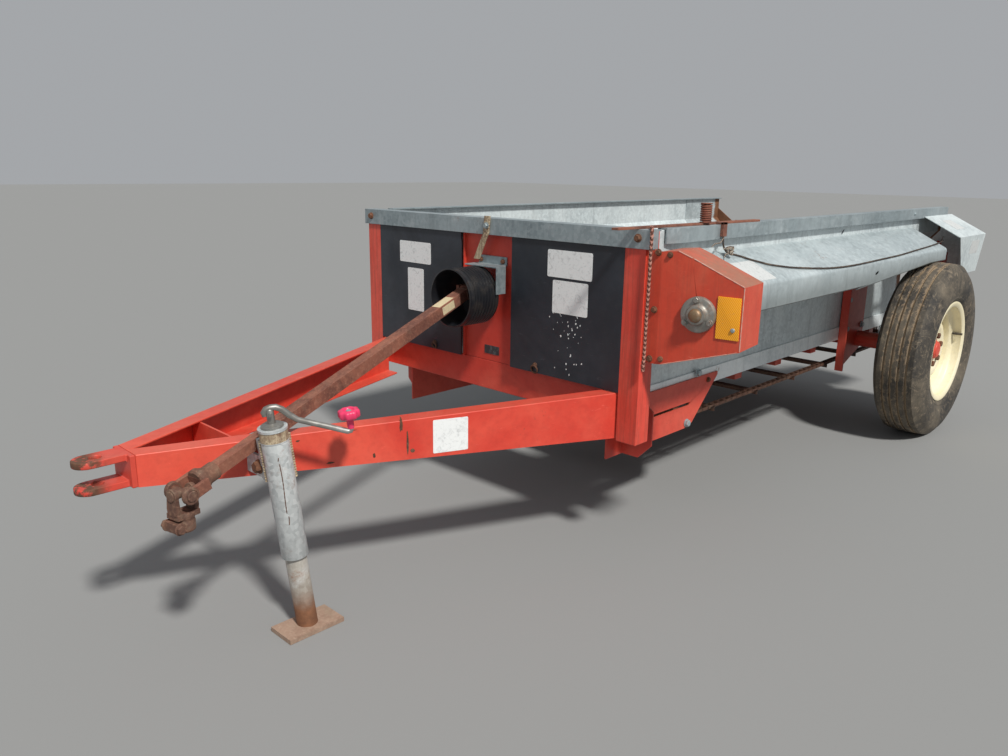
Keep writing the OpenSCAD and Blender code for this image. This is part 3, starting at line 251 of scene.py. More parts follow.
def add_bevel(obj, width):
    bevel = obj.modifiers.new("bevel", "BEVEL")
    bevel.width = width
    bevel.segments = 2
    bevel.limit_method = "ANGLE"
    bevel.angle_limit = math.radians(40)
    bevel.harden_normals = True


def curve_through(route, steps):
    """Points on the same smooth curve that the part's source sweeps its cords along."""
    points = [at(*p) for p in route]
    last = len(points) - 1
    made = []
    for k in range(last * steps + 1):
        i = min(k // steps, last - 1)
        t = k / steps - i
        a, b, c, d = points[max(i - 1, 0)], points[i], points[i + 1], points[min(i + 2, last)]
        bend = t * (c - a) + t * t * (2 * a - 5 * b + 4 * c - d) + t**3 * (3 * b - a - 3 * c + d)
        made.append(b + 0.5 * bend)
    return made


# Materials


class Look:
    """A node-based material. Its patterns follow the object's own coordinates."""

    def __init__(self, name, roughness=0.5, metallic=0.0):
        self.material = bpy.data.materials.new(name)
        self.material.use_nodes = True
        self.tree = self.material.node_tree
        self.shader = self.tree.nodes["Principled BSDF"]
        self.shader.inputs["Roughness"].default_value = roughness
        self.shader.inputs["Metallic"].default_value = metallic
        self.place = self.node("TexCoord").outputs["Object"]

    def node(self, kind, **settings):
        """A shader node. Names of inputs that aren't linked are given with their values."""
        node = self.tree.nodes.new("ShaderNode" + kind)
        for name, value in settings.items():
            node.inputs[name].default_value = value
        return node

    def link(self, source, target):
        if isinstance(source, (int, float)):
            target.default_value = source
        elif isinstance(source, tuple):
            target.default_value = (*source, 1.0)
        else:
            self.tree.links.new(source, target)

    def stretched(self, scale):
        node = self.node("Mapping", Scale=scale)
        self.link(self.place, node.inputs["Vector"])
        return node.outputs["Vector"]

    def noise(self, scale, detail=4.0, roughness=0.6, warp=0.0, place=None):
        node = self.node("TexNoise", Scale=scale, Detail=detail, Roughness=roughness)
        node.inputs["Distortion"].default_value = warp
        self.link(place or self.place, node.inputs["Vector"])
        return node.outputs["Fac"]

    def flakes(self, scale):
        """A grey of its own for each small cell."""
        cells = self.node("TexVoronoi", Scale=scale)
        self.link(self.place, cells.inputs["Vector"])
        grey = self.node("SeparateColor")
        self.link(cells.outputs["Color"], grey.inputs[0])
        return grey.outputs[0]

    def math(self, operation, a, b=0.0, clamp=False):
        node = self.node("Math")
        node.operation = operation
        node.use_clamp = clamp
        self.link(a, node.inputs[0])
        self.link(b, node.inputs[1])
        return node.outputs[0]

    def plus(self, a, b):
        return self.math("ADD", a, b)

    def minus(self, a, b):
        return self.math("SUBTRACT", a, b)

    def times(self, a, b, clamp=False):
        return self.math("MULTIPLY", a, b, clamp)

    def mix(self, share, a, b):
        node = self.node("Mix")
        node.data_type = "RGBA"
        self.link(share, node.inputs["Factor"])
        self.link(a, node.inputs["A"])
        self.link(b, node.inputs["B"])
        return node.outputs["Result"]

    def coat(self, tone, share, strength, colour):
        """A tone under a partial coat of another colour."""
        return self.mix(self.times(share, strength), tone, colour)

    def part(self, axis):
        """One coordinate of the place, in metres."""
        node = self.node("SeparateXYZ")
        self.link(self.place, node.inputs[0])
        return node.outputs[axis]

    def facing_up(self):
        node = self.node("SeparateXYZ")
        self.link(self.node("NewGeometry").outputs["Normal"], node.inputs[0])
        return node.outputs["Z"]

    def between(self, value, low, high):
        """0 below low, 1 above high, and a smooth rise between them."""
        node = self.node("MapRange")
        node.interpolation_type = "SMOOTHSTEP"
        self.link(value, node.inputs["Value"])
        node.inputs["From Min"].default_value = low
        node.inputs["From Max"].default_value = high
        return node.outputs["Result"]

    def patches(self, low, high, *noise, **more):
        """Where a noise rises from low to high."""
        return self.between(self.noise(*noise, **more), low, high)

    def ragged(self, axis, start, end, scale, detail, reach):
        """A change along an axis, with an uneven edge."""
        edge = self.times(self.minus(self.noise(scale, detail, 0.75), 0.5), reach)
        return self.between(self.plus(self.part(axis), edge), start, end)

    def bump(self, height, distance, strength):
        node = self.node("Bump", Strength=strength, Distance=distance)
        self.link(height, node.inputs["Height"])
        self.link(node.outputs["Normal"], self.shader.inputs["Normal"])

    def finish(self, colour, roughness=None):
        self.link(colour, self.shader.inputs["Base Color"])
        if roughness is not None:
            self.link(roughness, self.shader.inputs["Roughness"])
        return self.material


RUST_DARK = (0.055, 0.024, 0.014)
RUST_MID = (0.155, 0.062, 0.032)
RUST_LIGHT = (0.33, 0.145, 0.070)
DUST = (0.30, 0.235, 0.165)


def enamel(name, colour, faded, rust=0.5, dust=0.35, worn=0.0, grime=0.0, streaks=0.0):
    """Old brushed enamel on steel: faded areas, chips down to rust, and field dust.

    worn is where bare patches start towards the hitch's tip, in metres, grime browns what
    faces up, and streaks draws brown runs down what stands.
    """
    look = Look(name, roughness=0.45)
    broad = look.noise(2.6, 5, 0.65, 0.6)
    fine = look.noise(38, 8, 0.68)
    tone = look.mix(look.between(broad, 0.36, 0.68), colour, faded)
    tone = look.coat(tone, look.between(fine, 0.42, 0.72), 0.22, tuple(0.55 * c for c in colour))
    patches = look.patches(0.60 - 0.10 * rust, 0.72, 6.0, 6, 0.7, 1.2)
    chips = look.patches(0.60 - 0.05 * rust, 0.66 - 0.03 * rust, 70, 10, 0.78, 0.4)
    bare = look.times(patches, chips, clamp=True)
    low_down = look.between(look.part("Z"), 0.62, 0.30)
    low_chips = look.times(look.patches(0.69 - 0.06 * rust, 0.74, 95, 10, 0.8), low_down)
    bare = look.math("MAXIMUM", bare, low_chips, clamp=True)
    if worn:
        tip = look.between(look.part("X"), worn, worn + 0.05)
        tip = look.times(tip, look.patches(0.43, 0.52, 26, 8, 0.75))
        bare = look.math("MAXIMUM", bare, tip, clamp=True)
    tone = look.mix(bare, tone, look.mix(look.noise(120, 5), RUST_DARK, RUST_MID))
    scratch = look.patches(0.60, 0.66, 14, 10, 0.82, 0.3, place=look.stretched((1.0, 1.6, 7.0)))
    tone = look.coat(tone, scratch, 0.35, tuple(min(1.0, 1.25 * c + 0.09) for c in faded))
    if grime:
        upward = look.between(look.facing_up(), 0.35, 0.80)
        share = look.times(upward, look.patches(0.28, 0.56, 8, 9, 0.75, 0.9))
        tone = look.mix(look.times(share, grime, clamp=True), tone, (0.32, 0.140, 0.085))
    if streaks:
        runs = look.patches(0.47, 0.60, 1.0, 9, 0.78, 0.5, place=look.stretched((70, 70, 3.2)))
        tone = look.mix(look.times(runs, streaks, clamp=True), tone, (0.115, 0.042, 0.026))
    settled = look.plus(look.times(look.between(look.facing_up(), 0.3, 1.0), 0.5), 0.30)
    tone = look.coat(tone, look.times(look.patches(0.35, 0.80, 9, 8, 0.72), settled), dust, DUST)
    rough = look.plus(look.plus(look.times(bare, 0.42), 0.36), look.times(fine, 0.18))
    height = look.minus(look.times(look.noise(420, 3), 0.12), bare)
    look.bump(look.plus(height, look.times(broad, 0.6)), 0.0009, 0.55)
    return look.finish(tone, rough)


def zinc(
    name, colour, dark=(0.30, 0.35, 0.37), rust=0, spangle=1.0, metal=0.45, bare=None, low_shade_and_dirt=None
):
    """Hot-dip galvanised sheet: spangles, dull white bloom, water streaks and some rust.

    bare is (axis, sound, gone): along that axis the coating is gone past a coordinate in metres.
    The last argument, (top, bottom), gives the heights between which the sheet darkens towards the
    bottom: painted shade, as under a lip that curves under, with some road dirt.
    """
    look = Look(name, roughness=0.42, metallic=metal)
    flake = look.flakes(95)
    broad = look.noise(1.7, 6, 0.65, 0.8)
    tone = look.mix(look.between(broad, 0.32, 0.70), dark, colour)
    tone = look.coat(tone, flake, 0.30 * spangle, tuple(min(1, 1.30 * c) for c in colour))
    streaks = look.patches(0.48, 0.78, 5.0, 7, 0.7, 0.4, place=look.stretched((6, 6, 0.7)))
    tone = look.coat(tone, streaks, 0.45, tuple(0.50 * c for c in dark))
    bloom = look.patches(0.50, 0.74, 11, 9, 0.75, 0.8)
    tone = look.coat(tone, bloom, 0.40, (0.66, 0.70, 0.71))
    rough = look.plus(look.plus(look.times(flake, 0.12), 0.36), look.times(bloom, 0.20))
    if rust:
        areas = look.patches(0.62 - 0.16 * rust, 0.78, 9, 6, 0.7, 1.0)
        specks = look.patches(0.50 - 0.08 * rust, 0.62, 80, 9, 0.8)
        spots = look.times(areas, specks, clamp=True)
        tone = look.mix(spots, tone, look.mix(look.noise(60, 5), RUST_MID, RUST_LIGHT))
        rough = look.plus(rough, look.times(spots, 0.35))
    # Painted shade, with some road dirt: the sheet darkens towards the bottom between the two given
    # heights
    if low_shade_and_dirt:
        tone = look.coat(tone, look.ragged("Z", *low_shade_and_dirt, 9, 7, 0.05), 0.62, (0.13, 0.145, 0.14))
    if bare:
        share = look.ragged(*bare, 22, 8, 0.06)
        tone = look.mix(share, tone, look.mix(look.noise(45, 8, 0.7), RUST_DARK, RUST_LIGHT))
        rough = look.plus(rough, look.times(share, 0.35))
    height = look.plus(look.times(broad, 1.4), look.times(flake, 0.02))
    look.bump(look.plus(height, look.times(look.noise(160), 0.05)), 0.0016, 0.5)
    return look.finish(tone, rough)


def rust(name, dark=RUST_DARK, mid=RUST_MID, light=RUST_LIGHT, dust=0.25, scale=1.0):
    """Bare steel under an even coat of rust, with scale, pits and dry dirt."""
    look = Look(name, roughness=0.85)
    broad = look.noise(7 * scale, 7, 0.7, 0.8)
    fine = look.noise(130 * scale, 9, 0.78)
    tone = look.mix(look.between(broad, 0.34, 0.66), dark, mid)
    tone = look.coat(tone, look.between(fine, 0.46, 0.72), 0.65, light)
    tone = look.coat(tone, look.patches(0.48, 0.72, 16, 8, 0.75, 0.6), dust, DUST)
    look.bump(look.plus(fine, look.times(broad, 0.7)), 0.0011, 0.75)
    return look.finish(tone, look.plus(look.times(fine, 0.25), 0.66))


def rubber(name, dust, colour=(0.017, 0.016, 0.015)):
    """Weathered tyre rubber, with dry tan soil that spreads out of the tread's grooves."""
    look = Look(name, roughness=0.8)
    broad = look.noise(5, 7, 0.72, 0.7)
    fine = look.noise(210, 7, 0.75)
    tone = look.mix(look.between(fine, 0.35, 0.75), colour, tuple(2.4 * c for c in colour))
    film = look.times(look.between(broad, 0.34, 0.70), 0.8 * dust)
    tone = look.mix(film, tone, (0.220, 0.182, 0.132))
    tone = look.coat(tone, look.patches(0.50, 0.68, 30, 9, 0.8, 1.4), dust, (0.31, 0.245, 0.170))
    across = look.minus(look.math("ABSOLUTE", look.part("Y")), WHEEL_Y / 1000)
    clods = look.times(look.minus(look.noise(26, 10, 0.80, 1.0), 0.50), 0.085)
    for groove in (-0.0430, -0.0144, 0.0144, 0.0430):
        away = look.math("ABSOLUTE", look.minus(across, groove))
        share = look.between(look.minus(away, clods), 0.0062, 0.0030)
        tone = look.coat(tone, share, 0.62, (0.34, 0.245, 0.155))
    look.bump(look.plus(fine, look.times(broad, 0.4)), 0.0007, 0.6)
    return look.finish(tone, look.plus(look.times(film, 0.2), 0.68))


def packed_dirt(name):
    """Dry soil with small stones, packed between the tyre's ribs."""
    look = Look(name, roughness=0.95)
    grit = look.noise(160, 8, 0.8)
    tone = look.mix(grit, (0.25, 0.175, 0.105), (0.50, 0.385, 0.255))
    tone = look.mix(look.patches(0.56, 0.70, 24, 6, 0.7), tone, (0.045, 0.038, 0.032))
    look.bump(grit, 0.0015, 0.8)
    return look.finish(tone)


def plastic(name, colour, roughness, dust):
    """Moulded plastic or a smooth cord, under a film of dust."""
    look = Look(name, roughness=roughness)
    film = look.times(look.patches(0.42, 0.78, 18, 8, 0.75, 0.8), dust)
    look.bump(look.noise(300, 6, 0.7), 0.0004, 0.5)
    return look.finish(look.mix(film, colour, DUST), look.plus(look.times(film, 0.5), roughness))


def strands(name, dark, pale):
    """A twisted wire or cord whose strands alternate in tone."""
    look = Look(name, roughness=0.8)
    slant = look.plus(look.times(look.part("Z"), 480), look.times(look.part("X"), 560))
    wave = look.math("SINE", look.plus(slant, look.times(look.part("Y"), 560)))
    tone = look.mix(look.between(wave, -0.35, 0.35), dark, pale)
    tone = look.coat(tone, look.noise(60, 6, 0.75), 0.5, RUST_MID)
    look.bump(wave, 0.001, 0.6)
    return look.finish(tone)


def label(name, colour=(0.80, 0.82, 0.82), worn=0.35):
    """A blank weathered sticker: sun-bleached, smudged and picked at."""
    look = Look(name, roughness=0.5)
    smudge = look.times(look.patches(0.50, 0.64, 48, 9, 0.8, 1.6), worn)
    tone = look.mix(smudge, colour, (0.20, 0.21, 0.22))
    tone = look.mix(look.patches(0.66, 0.70, 190, 6, 0.8), tone, (0.10, 0.10, 0.11))
    look.bump(look.noise(90, 5), 0.0003, 0.5)
    return look.finish(tone, look.plus(look.times(smudge, 0.3), 0.42))


def amber_lens(name):
    """Amber reflector with fine slanted prisms and a little dirt."""
    look = Look(name, roughness=0.3)
    slant = look.plus(look.times(look.part("Z"), 900), look.times(look.part("Y"), 1100))
    wave = look.math("SINE", slant)
    tone = look.mix(look.between(wave, -0.8, 0.8), (0.80, 0.30, 0.006), (0.95, 0.42, 0.014))
    tone = look.coat(tone, look.patches(0.56, 0.76, 30, 8, 0.8), 0.30, DUST)
    look.shader.inputs["Coat Weight"].default_value = 0.3
    look.bump(wave, 0.0004, 0.4)
    return look.finish(tone)


RED = enamel(
    "red_enamel", (0.60, 0.042, 0.025), (0.72, 0.088, 0.052), rust=0.30, dust=0.20, grime=0.15
)
RED_WORN = enamel(
    "red_enamel_worn", (0.56, 0.040, 0.024), (0.66, 0.085, 0.052), rust=0.6, dust=0.30, grime=0.3
)
RED_POST = enamel(
    "red_enamel_posts", (0.68, 0.060, 0.036), (0.76, 0.105, 0.068), dust=0.30, streaks=0.28
)
RED_GUARD = enamel(
    "red_enamel_guard", (0.60, 0.058, 0.026), (0.72, 0.125, 0.062), rust=0.55, dust=0.30,
    grime=0.85, streaks=0.12,
)
RED_TIP = enamel(
    "red_enamel_hitch", (0.58, 0.040, 0.026), (0.62, 0.070, 0.045), dust=0.25, worn=1.80
)
RED_DULL = enamel(
    "red_enamel_dull", (0.36, 0.035, 0.022), (0.44, 0.070, 0.045), rust=0.8, dust=0.45
)
RED_EDGE = enamel("red_enamel_edges", (0.62, 0.30, 0.24), (0.55, 0.38, 0.33), rust=1.3, dust=0.3)
BLACK = enamel("black_enamel", (0.014, 0.018, 0.026), (0.034, 0.041, 0.054), rust=-0.6, dust=0.10)
CREAM = enamel("cream_enamel", (0.80, 0.72, 0.49), (0.84, 0.78, 0.58), rust=-0.2, dust=0.20)
CREAM_FLAKED = enamel(
    "cream_flaked", (0.50, 0.40, 0.26), (0.58, 0.48, 0.33), rust=3.4, dust=0.3, streaks=0.5
)
ZINC = zinc("zinc_sheet", (0.62, 0.68, 0.69), (0.42, 0.48, 0.50), spangle=1.4, metal=0.10)
ZINC_SILL = zinc("zinc_sill", (0.84, 0.89, 0.90), (0.62, 0.68, 0.70), rust=0.15, metal=0.15)
ZINC_RIM = zinc("zinc_rim", (0.38, 0.44, 0.46), (0.21, 0.26, 0.28), rust=0.25, spangle=1.2)
# The shield's nose darkens below 0.795 m: painted shade where its lip curves under, with some road
# dirt
ZINC_SHIELD = zinc(
    "zinc_shield", (0.53, 0.60, 0.62), (0.36, 0.42, 0.44), rust=0.15, metal=0.35,
    low_shade_and_dirt=(0.795, 0.715),
)
ZINC_JACK = zinc(
    "zinc_jack", (0.54, 0.56, 0.56), (0.30, 0.33, 0.34), rust=0.75, spangle=2.0, metal=0.2
)
ZINC_REAR = zinc("zinc_rear", (0.58, 0.64, 0.65), metal=0.25, bare=("X", -1.765, -1.785))
ZINC_LEG = zinc(
    "zinc_leg", (0.44, 0.42, 0.38), (0.27, 0.23, 0.19), rust=0.8, metal=0.15, bare=("Z", 0.13, 0.05)
)
BRASS = zinc(
    "brassy_dome", (0.30, 0.21, 0.12), (0.15, 0.10, 0.06), rust=1.3, spangle=0.2, metal=0.5
)
BEARING = zinc(
    "bearing_cast", (0.36, 0.36, 0.33), (0.14, 0.13, 0.11), rust=1.3, spangle=0.6, metal=0.55
)
STEEL = zinc("worn_steel", (0.42, 0.42, 0.40), (0.20, 0.19, 0.17), rust=0.8, spangle=0.4, metal=0.7)
RUST = rust("rusty_steel")
RUST_SHAFT = rust(
    "rusty_shaft", (0.110, 0.040, 0.028), (0.27, 0.100, 0.062), (0.38, 0.180, 0.115), dust=0.15
)
RUST_CAST = rust(
    "rusty_casting", (0.095, 0.044, 0.031), (0.20, 0.094, 0.060), (0.34, 0.190, 0.120), dust=0.45
)
RUST_SPRING = rust("rusty_spring", (0.075, 0.022, 0.014), (0.21, 0.060, 0.035), (0.30, 0.12, 0.07))
RUST_CHAIN = rust("rusty_chain", (0.045, 0.022, 0.016), (0.115, 0.055, 0.035), (0.24, 0.125, 0.075))
RUST_FLOOR = rust("rusty_floor", dust=0.45, scale=0.5)
FOOT_DUST = rust(
    "dusty_foot", (0.22, 0.135, 0.095), (0.36, 0.245, 0.18), (0.46, 0.34, 0.26), dust=0.7
)
TYRE = rubber("tyre_rubber", dust=0.75)
GROOVE = packed_dirt("tyre_groove_dirt")
BELL = plastic("bell_plastic", (0.010, 0.011, 0.014), roughness=0.30, dust=0.10)
PINK = plastic("pink_knob", (0.75, 0.035, 0.13), roughness=0.35, dust=0.12)
CORD = plastic("cord_dark", (0.035, 0.022, 0.018), roughness=0.7, dust=0.5)
ROPE = strands("rope_faded", (0.10, 0.030, 0.022), (0.52, 0.26, 0.21))
WIRE = strands("twisted_wire", (0.055, 0.040, 0.030), (0.36, 0.33, 0.27))
STICKER = label("blank_label")
STICKER_SIDE = label("blank_side_label", (0.58, 0.60, 0.60), worn=0.45)
STICKER_DARK = label("blank_dark_label", (0.030, 0.032, 0.035), worn=0.5)
CREAM_TAPE = label("cream_label", (0.62, 0.52, 0.33), worn=0.55)
AMBER = amber_lens("amber_lens")

FINISH = (
    (RED, "tongue_rail_left tongue_rail_right tongue_gusset front_cross_member centre_plate"),
    (RED_TIP, "hitch_clevis"),
    (RED_POST, "corner_posts"),
    (RED_WORN, "front_brackets axle axle_brackets hub_left hub_right"),
    (RED_GUARD, "front_guard"),
    (RED_DULL, "floor_cross_members beater_gearbox"),
    (BLACK, "front_panels"),
    (CREAM, "wheel_rim_left wheel_rim_right"),
    (CREAM_FLAKED, "rim_strap"),
    (ZINC, "front_wall side_walls rear_hood"),
    (ZINC_RIM, "front_rim side_rails bell_bracket"),
    (ZINC_REAR, "rear_sides"),
    (ZINC_SILL, "sills"),
    (ZINC_SHIELD, "driveline_shield"),
    (ZINC_JACK, "jack_tube"),
    (ZINC_LEG, "jack_leg"),
    (BEARING, "drive_bearing"),
    (STEEL, "jack_crank"),
    (RUST, "apron_shafts control_lever"),
    (RUST_FLOOR, "floor"),
    (RUST_CHAIN, "apron_chain"),
    (RUST_SHAFT, "drive_shaft input_shaft pto_shaft"),
    (RUST_CAST, "beater pto_yoke"),
    (TYRE, "tyre_left tyre_right"),
    (BELL, "pto_bell"),
    (AMBER, "reflector"),
    (CORD, "control_cord"),
    (ROPE, "hanging_rope"),
)
# Width of the rounded edge in mm, where it isn't 1
SOFT_EDGE = {
    "tongue_rail_left": 3.0, "tongue_rail_right": 3.0, "front_cross_member": 3.0,
    "hitch_clevis": 3.0, "corner_posts": 2.5,
}


def dress(node, material):
    """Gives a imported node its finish, and rounds its edges so that they catch the light."""
    obj = NODES[node]
    obj.data.materials.clear()
    obj.data.materials.append(material)
    weld = obj.modifiers.new("weld", "WELD")
    weld.merge_threshold = 0.00002
    add_bevel(obj, SOFT_EDGE.get(node, 1.0) / 1000)


for finish, node_names in FINISH:
    for node_name in node_names.split():
        dress(node_name, finish)


# Cords, along the same routes as in the part's source

CONTROL_ROUTE = [
    (-361, 617.5, 914.5), (-361, 618, 904), (-366, 617, 890), (-381, 615, 876),
    (-406.6, 612, 864.7), (-445.5, 630.9, 854.1), (-472.5, 650.1, 844.1), (-504.2, 667, 835.2),
    (-537.8, 683.3, 826.7), (-579.5, 695.8, 820.2), (-624.4, 707.3, 814.2), (-675.1, 716.6, 809.4),
    (-757.9, 729, 802.9), (-849.6, 739.4, 797.5), (-961.8, 743.4, 794.3), (-1088.7, 744.1, 793.4),
    (-1279, 742, 795.6), (-1490.2, 738.9, 797.7), (-1681.4, 730.1, 802.3), (-1890.2, 720.5, 807.3),
    (-2049.1, 710.8, 812.4), (-2108, 702, 814), (-2180, 684, 808), (-2222, 660, 798),
    (-2248, 645, 793), (-2259.9, 645, 793),
]
ROPE_ROUTE = [
    (-30, 590, 954.6), (-14, 601, 954.6), (-3, 609, 955), (4, 616.5, 953), (9, 619.5, 944),
    (11, 621, 925), (12, 621, 880), (13, 622, 830), (14, 622, 770), (14, 621, 710), (14, 621, 650),
    (14, 620, 600), (14, 620, 575),
]


def make_cord(node, route, radius, material, pitch):
    path = curve_through(route, 12)
    shape = Shape()
    shape.tube(path, radius, 12, lobes=3, depth=radius * 0.28, pitch=pitch)
    piece = shape.make(node + "_laid", "chassis", [material], [node])


make_cord("control_cord", CONTROL_ROUTE, 0.003, CORD, 0.020)
make_cord("hanging_rope", ROPE_ROUTE, 0.005, ROPE, 0.034)


# Wheels. Profiles are (radius, outward) from the wheel's centre


def tyre_profile():
    """The tyre's skin, and for each span 1 where it is a groove's floor, else 0."""
    ribs = 5
    groove, depth, half = 7.5, 8.0, 71.0
    rib = (2 * half - (ribs - 1) * groove) / ribs

    def crown(y):
        return TYRE_R - 4.2 * (abs(y) / half) ** 1.7

    wall = [
        (195.4, -80.7), (213.8, -84.3), (220, -89), (224, -92.5), (231, -94.5), (234, -93.6),
        (250, -98.8), (268, -101.2), (288, -101.4), (291, -100.4), (308, -99.2), (324, -95.6),
        (338, -89.5), (341, -87), (350, -80.5), (357.5, -75.5),
    ]
    tread, marks = [], []
    y = -half
    for i in range(ribs):
        for share in (0.0, 0.06, 0.35, 0.65, 0.94, 1.0):
            drop = 1.6 if share in (0.0, 1.0) else 0.0
            tread.append((crown(y + share * rib) - drop, y + share * rib))
            marks.append(0)
        y += rib
        if i < ribs - 1:
            tread += [(crown(y) - depth, y + 0.9), (crown(y) - depth, y + groove - 0.9)]
            marks += [1, 0]
            y += groove
    plain = [0] * len(wall)
    return wall + tread + [(r, -q) for r, q in wall[::-1]], plain + marks + plain


def rim_profile():
    """Closed skin of the drop-centre rim, with rolled flanges."""
    outer = [
        (0, -88), (0, -86), (-3, -84.5), (-14, -82.5), (-18.3, -80), (-18.3, -54), (-22, -50),
        (-41, -43), (-44.3, -39),
    ]
    inner = [
        (-2.5, 89), (-8, 88), (-18, 85.5), (-22.3, 82), (-22.3, 54.5), (-26, 49), (-45, 41.5),
        (-48.3, 37),
    ]
    skin = outer + [(r, -y) for r, y in outer[::-1]] + inner + [(r, -y) for r, y in inner[::-1]]
    return [(RIM_R + r, y) for r, y in skin]


DISC_PROFILE = [
    (164.2, -3), (160, 6), (150, 13), (132, 24), (120, 32.5), (106, 36.5), (95, 37), (86, 34),
    (80, 32), (42, 32), (42, 26), (79, 26), (87, 28.2), (96, 31), (105, 30.5), (117, 27),
    (129, 19), (147, 8), (157, 1), (161, -5),
]
HUB_PROFILE = [
    (0, -88), (38, -88), (40, -86), (40, -50), (44, -46), (44, 8), (74, 14), (76, 16), (76, 24),
    (74.5, 25.7), (41.5, 25.7), (41.5, 34), (38, 37), (36, 44), (31, 47), (30, 49), (27, 50.5),
    (18, 51.8), (0, 52),
]


def make_wheel(side, name):
    """One wheel: tyre, rim with its disc, nuts, valve and hub. side is 1 left and -1 right."""
    body = "wheel_" + name
    place = facing(at(AXLE_X, side * WHEEL_Y, TYRE_R), LEFTWARD)

    def outward(profile):
        return [(r, side * y) for r, y in profile]

    points, marks = tyre_profile()
    tyre = Shape()
    tyre.lathe(outward(points), place, 144, slots=marks)
    tyre.make("tyre_" + name + "_ribbed", body, [TYRE, GROOVE], ["tyre_" + name], angle=30)

    rim_name = "wheel_rim_" + name
    rim = Shape()
    rim.lathe(outward(rim_profile()), place, 128)
    rim.lathe(outward(DISC_PROFILE), place, 128)
    rim.make(rim_name + "_pressed", body, [CREAM], [rim_name], angle=50)
    nuts = Shape()
    for x, y in circle(6, 60.5, 0.3):
        nuts.bolt(spot(place, x, y, side * 32), (0, side, 0), 21, 14, washer=False)
    nuts.make(rim_name + "_nuts", body, [RUST])
    valve = Shape()
    stem = [spot(place, 176, 50, side * y) for y in (48, 60, 78, 88)]
    valve.tube(stem[:3], [0.004, 0.0055, 0.0042], 12)
    valve.tube(stem[2:], 0.005, 12)
    valve.make(rim_name + "_valve", body, [TYRE])

    hub = Shape()
    hub.disc_lathe(outward(HUB_PROFILE), place, 64)
    hub.make("hub_" + name + "_cast", body, [RED_WORN], ["hub_" + name], angle=32)


make_wheel(1, "left")
make_wheel(-1, "right")


# Front: bolts, blank stickers and plates

GUARD_TURN = math.radians(8)
GUARD_NORMAL = (math.cos(GUARD_TURN), math.sin(GUARD_TURN), 0)
RAIL_ALONG = (-1162.7, 483.7, 0)
RAIL_FACE = (452.5, 334.5)


def plate_on(origin, along, up):
    """Placing matrix whose first two axes lie in a surface."""
    u, v = Vector(along).normalized(), Vector(up).normalized()
    return Matrix.Translation(at(*origin)) @ Matrix((u, v, u.cross(v))).transposed().to_4x4()


def upright(x, y=0.0, z=0.0):
    """A place on a face that looks forward: across is left, and up is up."""
    return plate_on((x, y, z), LEFTWARD, UPWARD)


def rounded(low, high, radius=5, steps=4):
    """Outline of a rectangle with round corners, in mm."""
    (x0, y0), (x1, y1) = low, high
    points = []
    for x, y, quarter in ((x1, y1, 0), (x0, y1, 1), (x0, y0, 2), (x1, y0, 3)):
        cx = x - radius if x == x1 else x + radius
        cy = y - radius if y == y1 else y + radius
        for k in range(steps + 1):
            angle = TURN / 4 * (quarter + k / steps)
            points.append((cx + radius * math.cos(angle), cy + radius * math.sin(angle)))
    return points


def make_stickers():
    """Blank stickers. The front ones lie on the dark panels' front faces."""
    front = Shape()
    for low, high in (
        ((259, 794), (424, 873)),
        ((281, 690), (412, 786)),
        ((-422, 779), (-260, 851)),
        ((-381, 614), (-298, 761)),
    ):
        front.prism(rounded(low, high), upright(0))
    front.make("front_stickers", "chassis", [STICKER])
    side = Shape()
    for origin, down, low, high in (
        ((-430, 592, 870), (0, 144.65, -75.5), (-52, 65), (130, 162)),
        ((-2290, 613, 915), (0, 157, -81), (-55, 45), (55, 120)),
        ((-2370, 770, 834), (0, -20, -174), (-60, 25), (60, 85)),
    ):
        side.prism(rounded(low, high, 4), plate_on(origin, FRONTWARD, down))
    side.make("side_stickers", "chassis", [STICKER_SIDE])
    dark = Shape()
    dark.prism(rounded((-21, 514), (44, 542), 2), upright(-22), 1.2)
    dark.make("centre_label", "chassis", [STICKER_DARK])
    rail = Shape()
    rail.prism(rounded((-48, -45), (48, 45), 3), plate_on((*RAIL_FACE, 427), RAIL_ALONG, UPWARD))
    rail.make("rail_sticker", "chassis", [STICKER])


make_stickers()


def on_guard(sideways, height, forward=0.0):
    """A point on the front guard's plate, in mm from the posts."""
    cosine, sine, _ = GUARD_NORMAL
    x = -6 - sideways * sine + forward * cosine
    return (x, 644 + sideways * cosine + forward * sine, height)


def both_sides(across, *centres):
    """Groups of heads that face outward on the left and, mirrored, on the right."""
    return [((0, s, 0), across, [(x, s * y, z) for x, y, z in centres]) for s in (1, -1)]


def set_bolts(name, material, groups):
    """Hexagon heads: groups of (normal, distance across flats, centres in mm)."""
    shape = Shape()
    for normal, across, centres in groups:
        for centre in centres:
            shape.bolt(at(*centre), normal, across, across * 0.6)
    shape.make(name, "chassis", [material])


set_bolts(
    "zinc_bolts",
    ZINC_RIM,
    [
        (FRONTWARD, 22, [(-140, 529, 381)]),
        (FRONTWARD, 14, [(10.6, 14, 926)]),
        (LEFTWARD, 9, [(-1990, 612.5, 930)]),
        *both_sides(20, (-510, 451.9, 276), (-560, 451.9, 442)),
        *both_sides(19, (-1790, 455.9, 430), (-1960, 455.9, 430), (-1790, 455.9, 560)),
    ],
)
set_bolts(
    "rusty_bolts",
    RUST,
    [
        (FRONTWARD, 13, [(-6, 631, 742), (-6, 625, 608), (-6, 634, 893)]),
        (FRONTWARD, 16, [(5.3, 575, 926), (5.3, -575, 926)]),
        (FRONTWARD, 11, [(-17.7, 60, 817), (-17.7, -36, 817)]),
        (GUARD_NORMAL, 11, [on_guard(14, 612), on_guard(24, 889)]),
        *both_sides(13, (-632, 451.9, 405), (-250, 451.9, 395)),
    ],
)


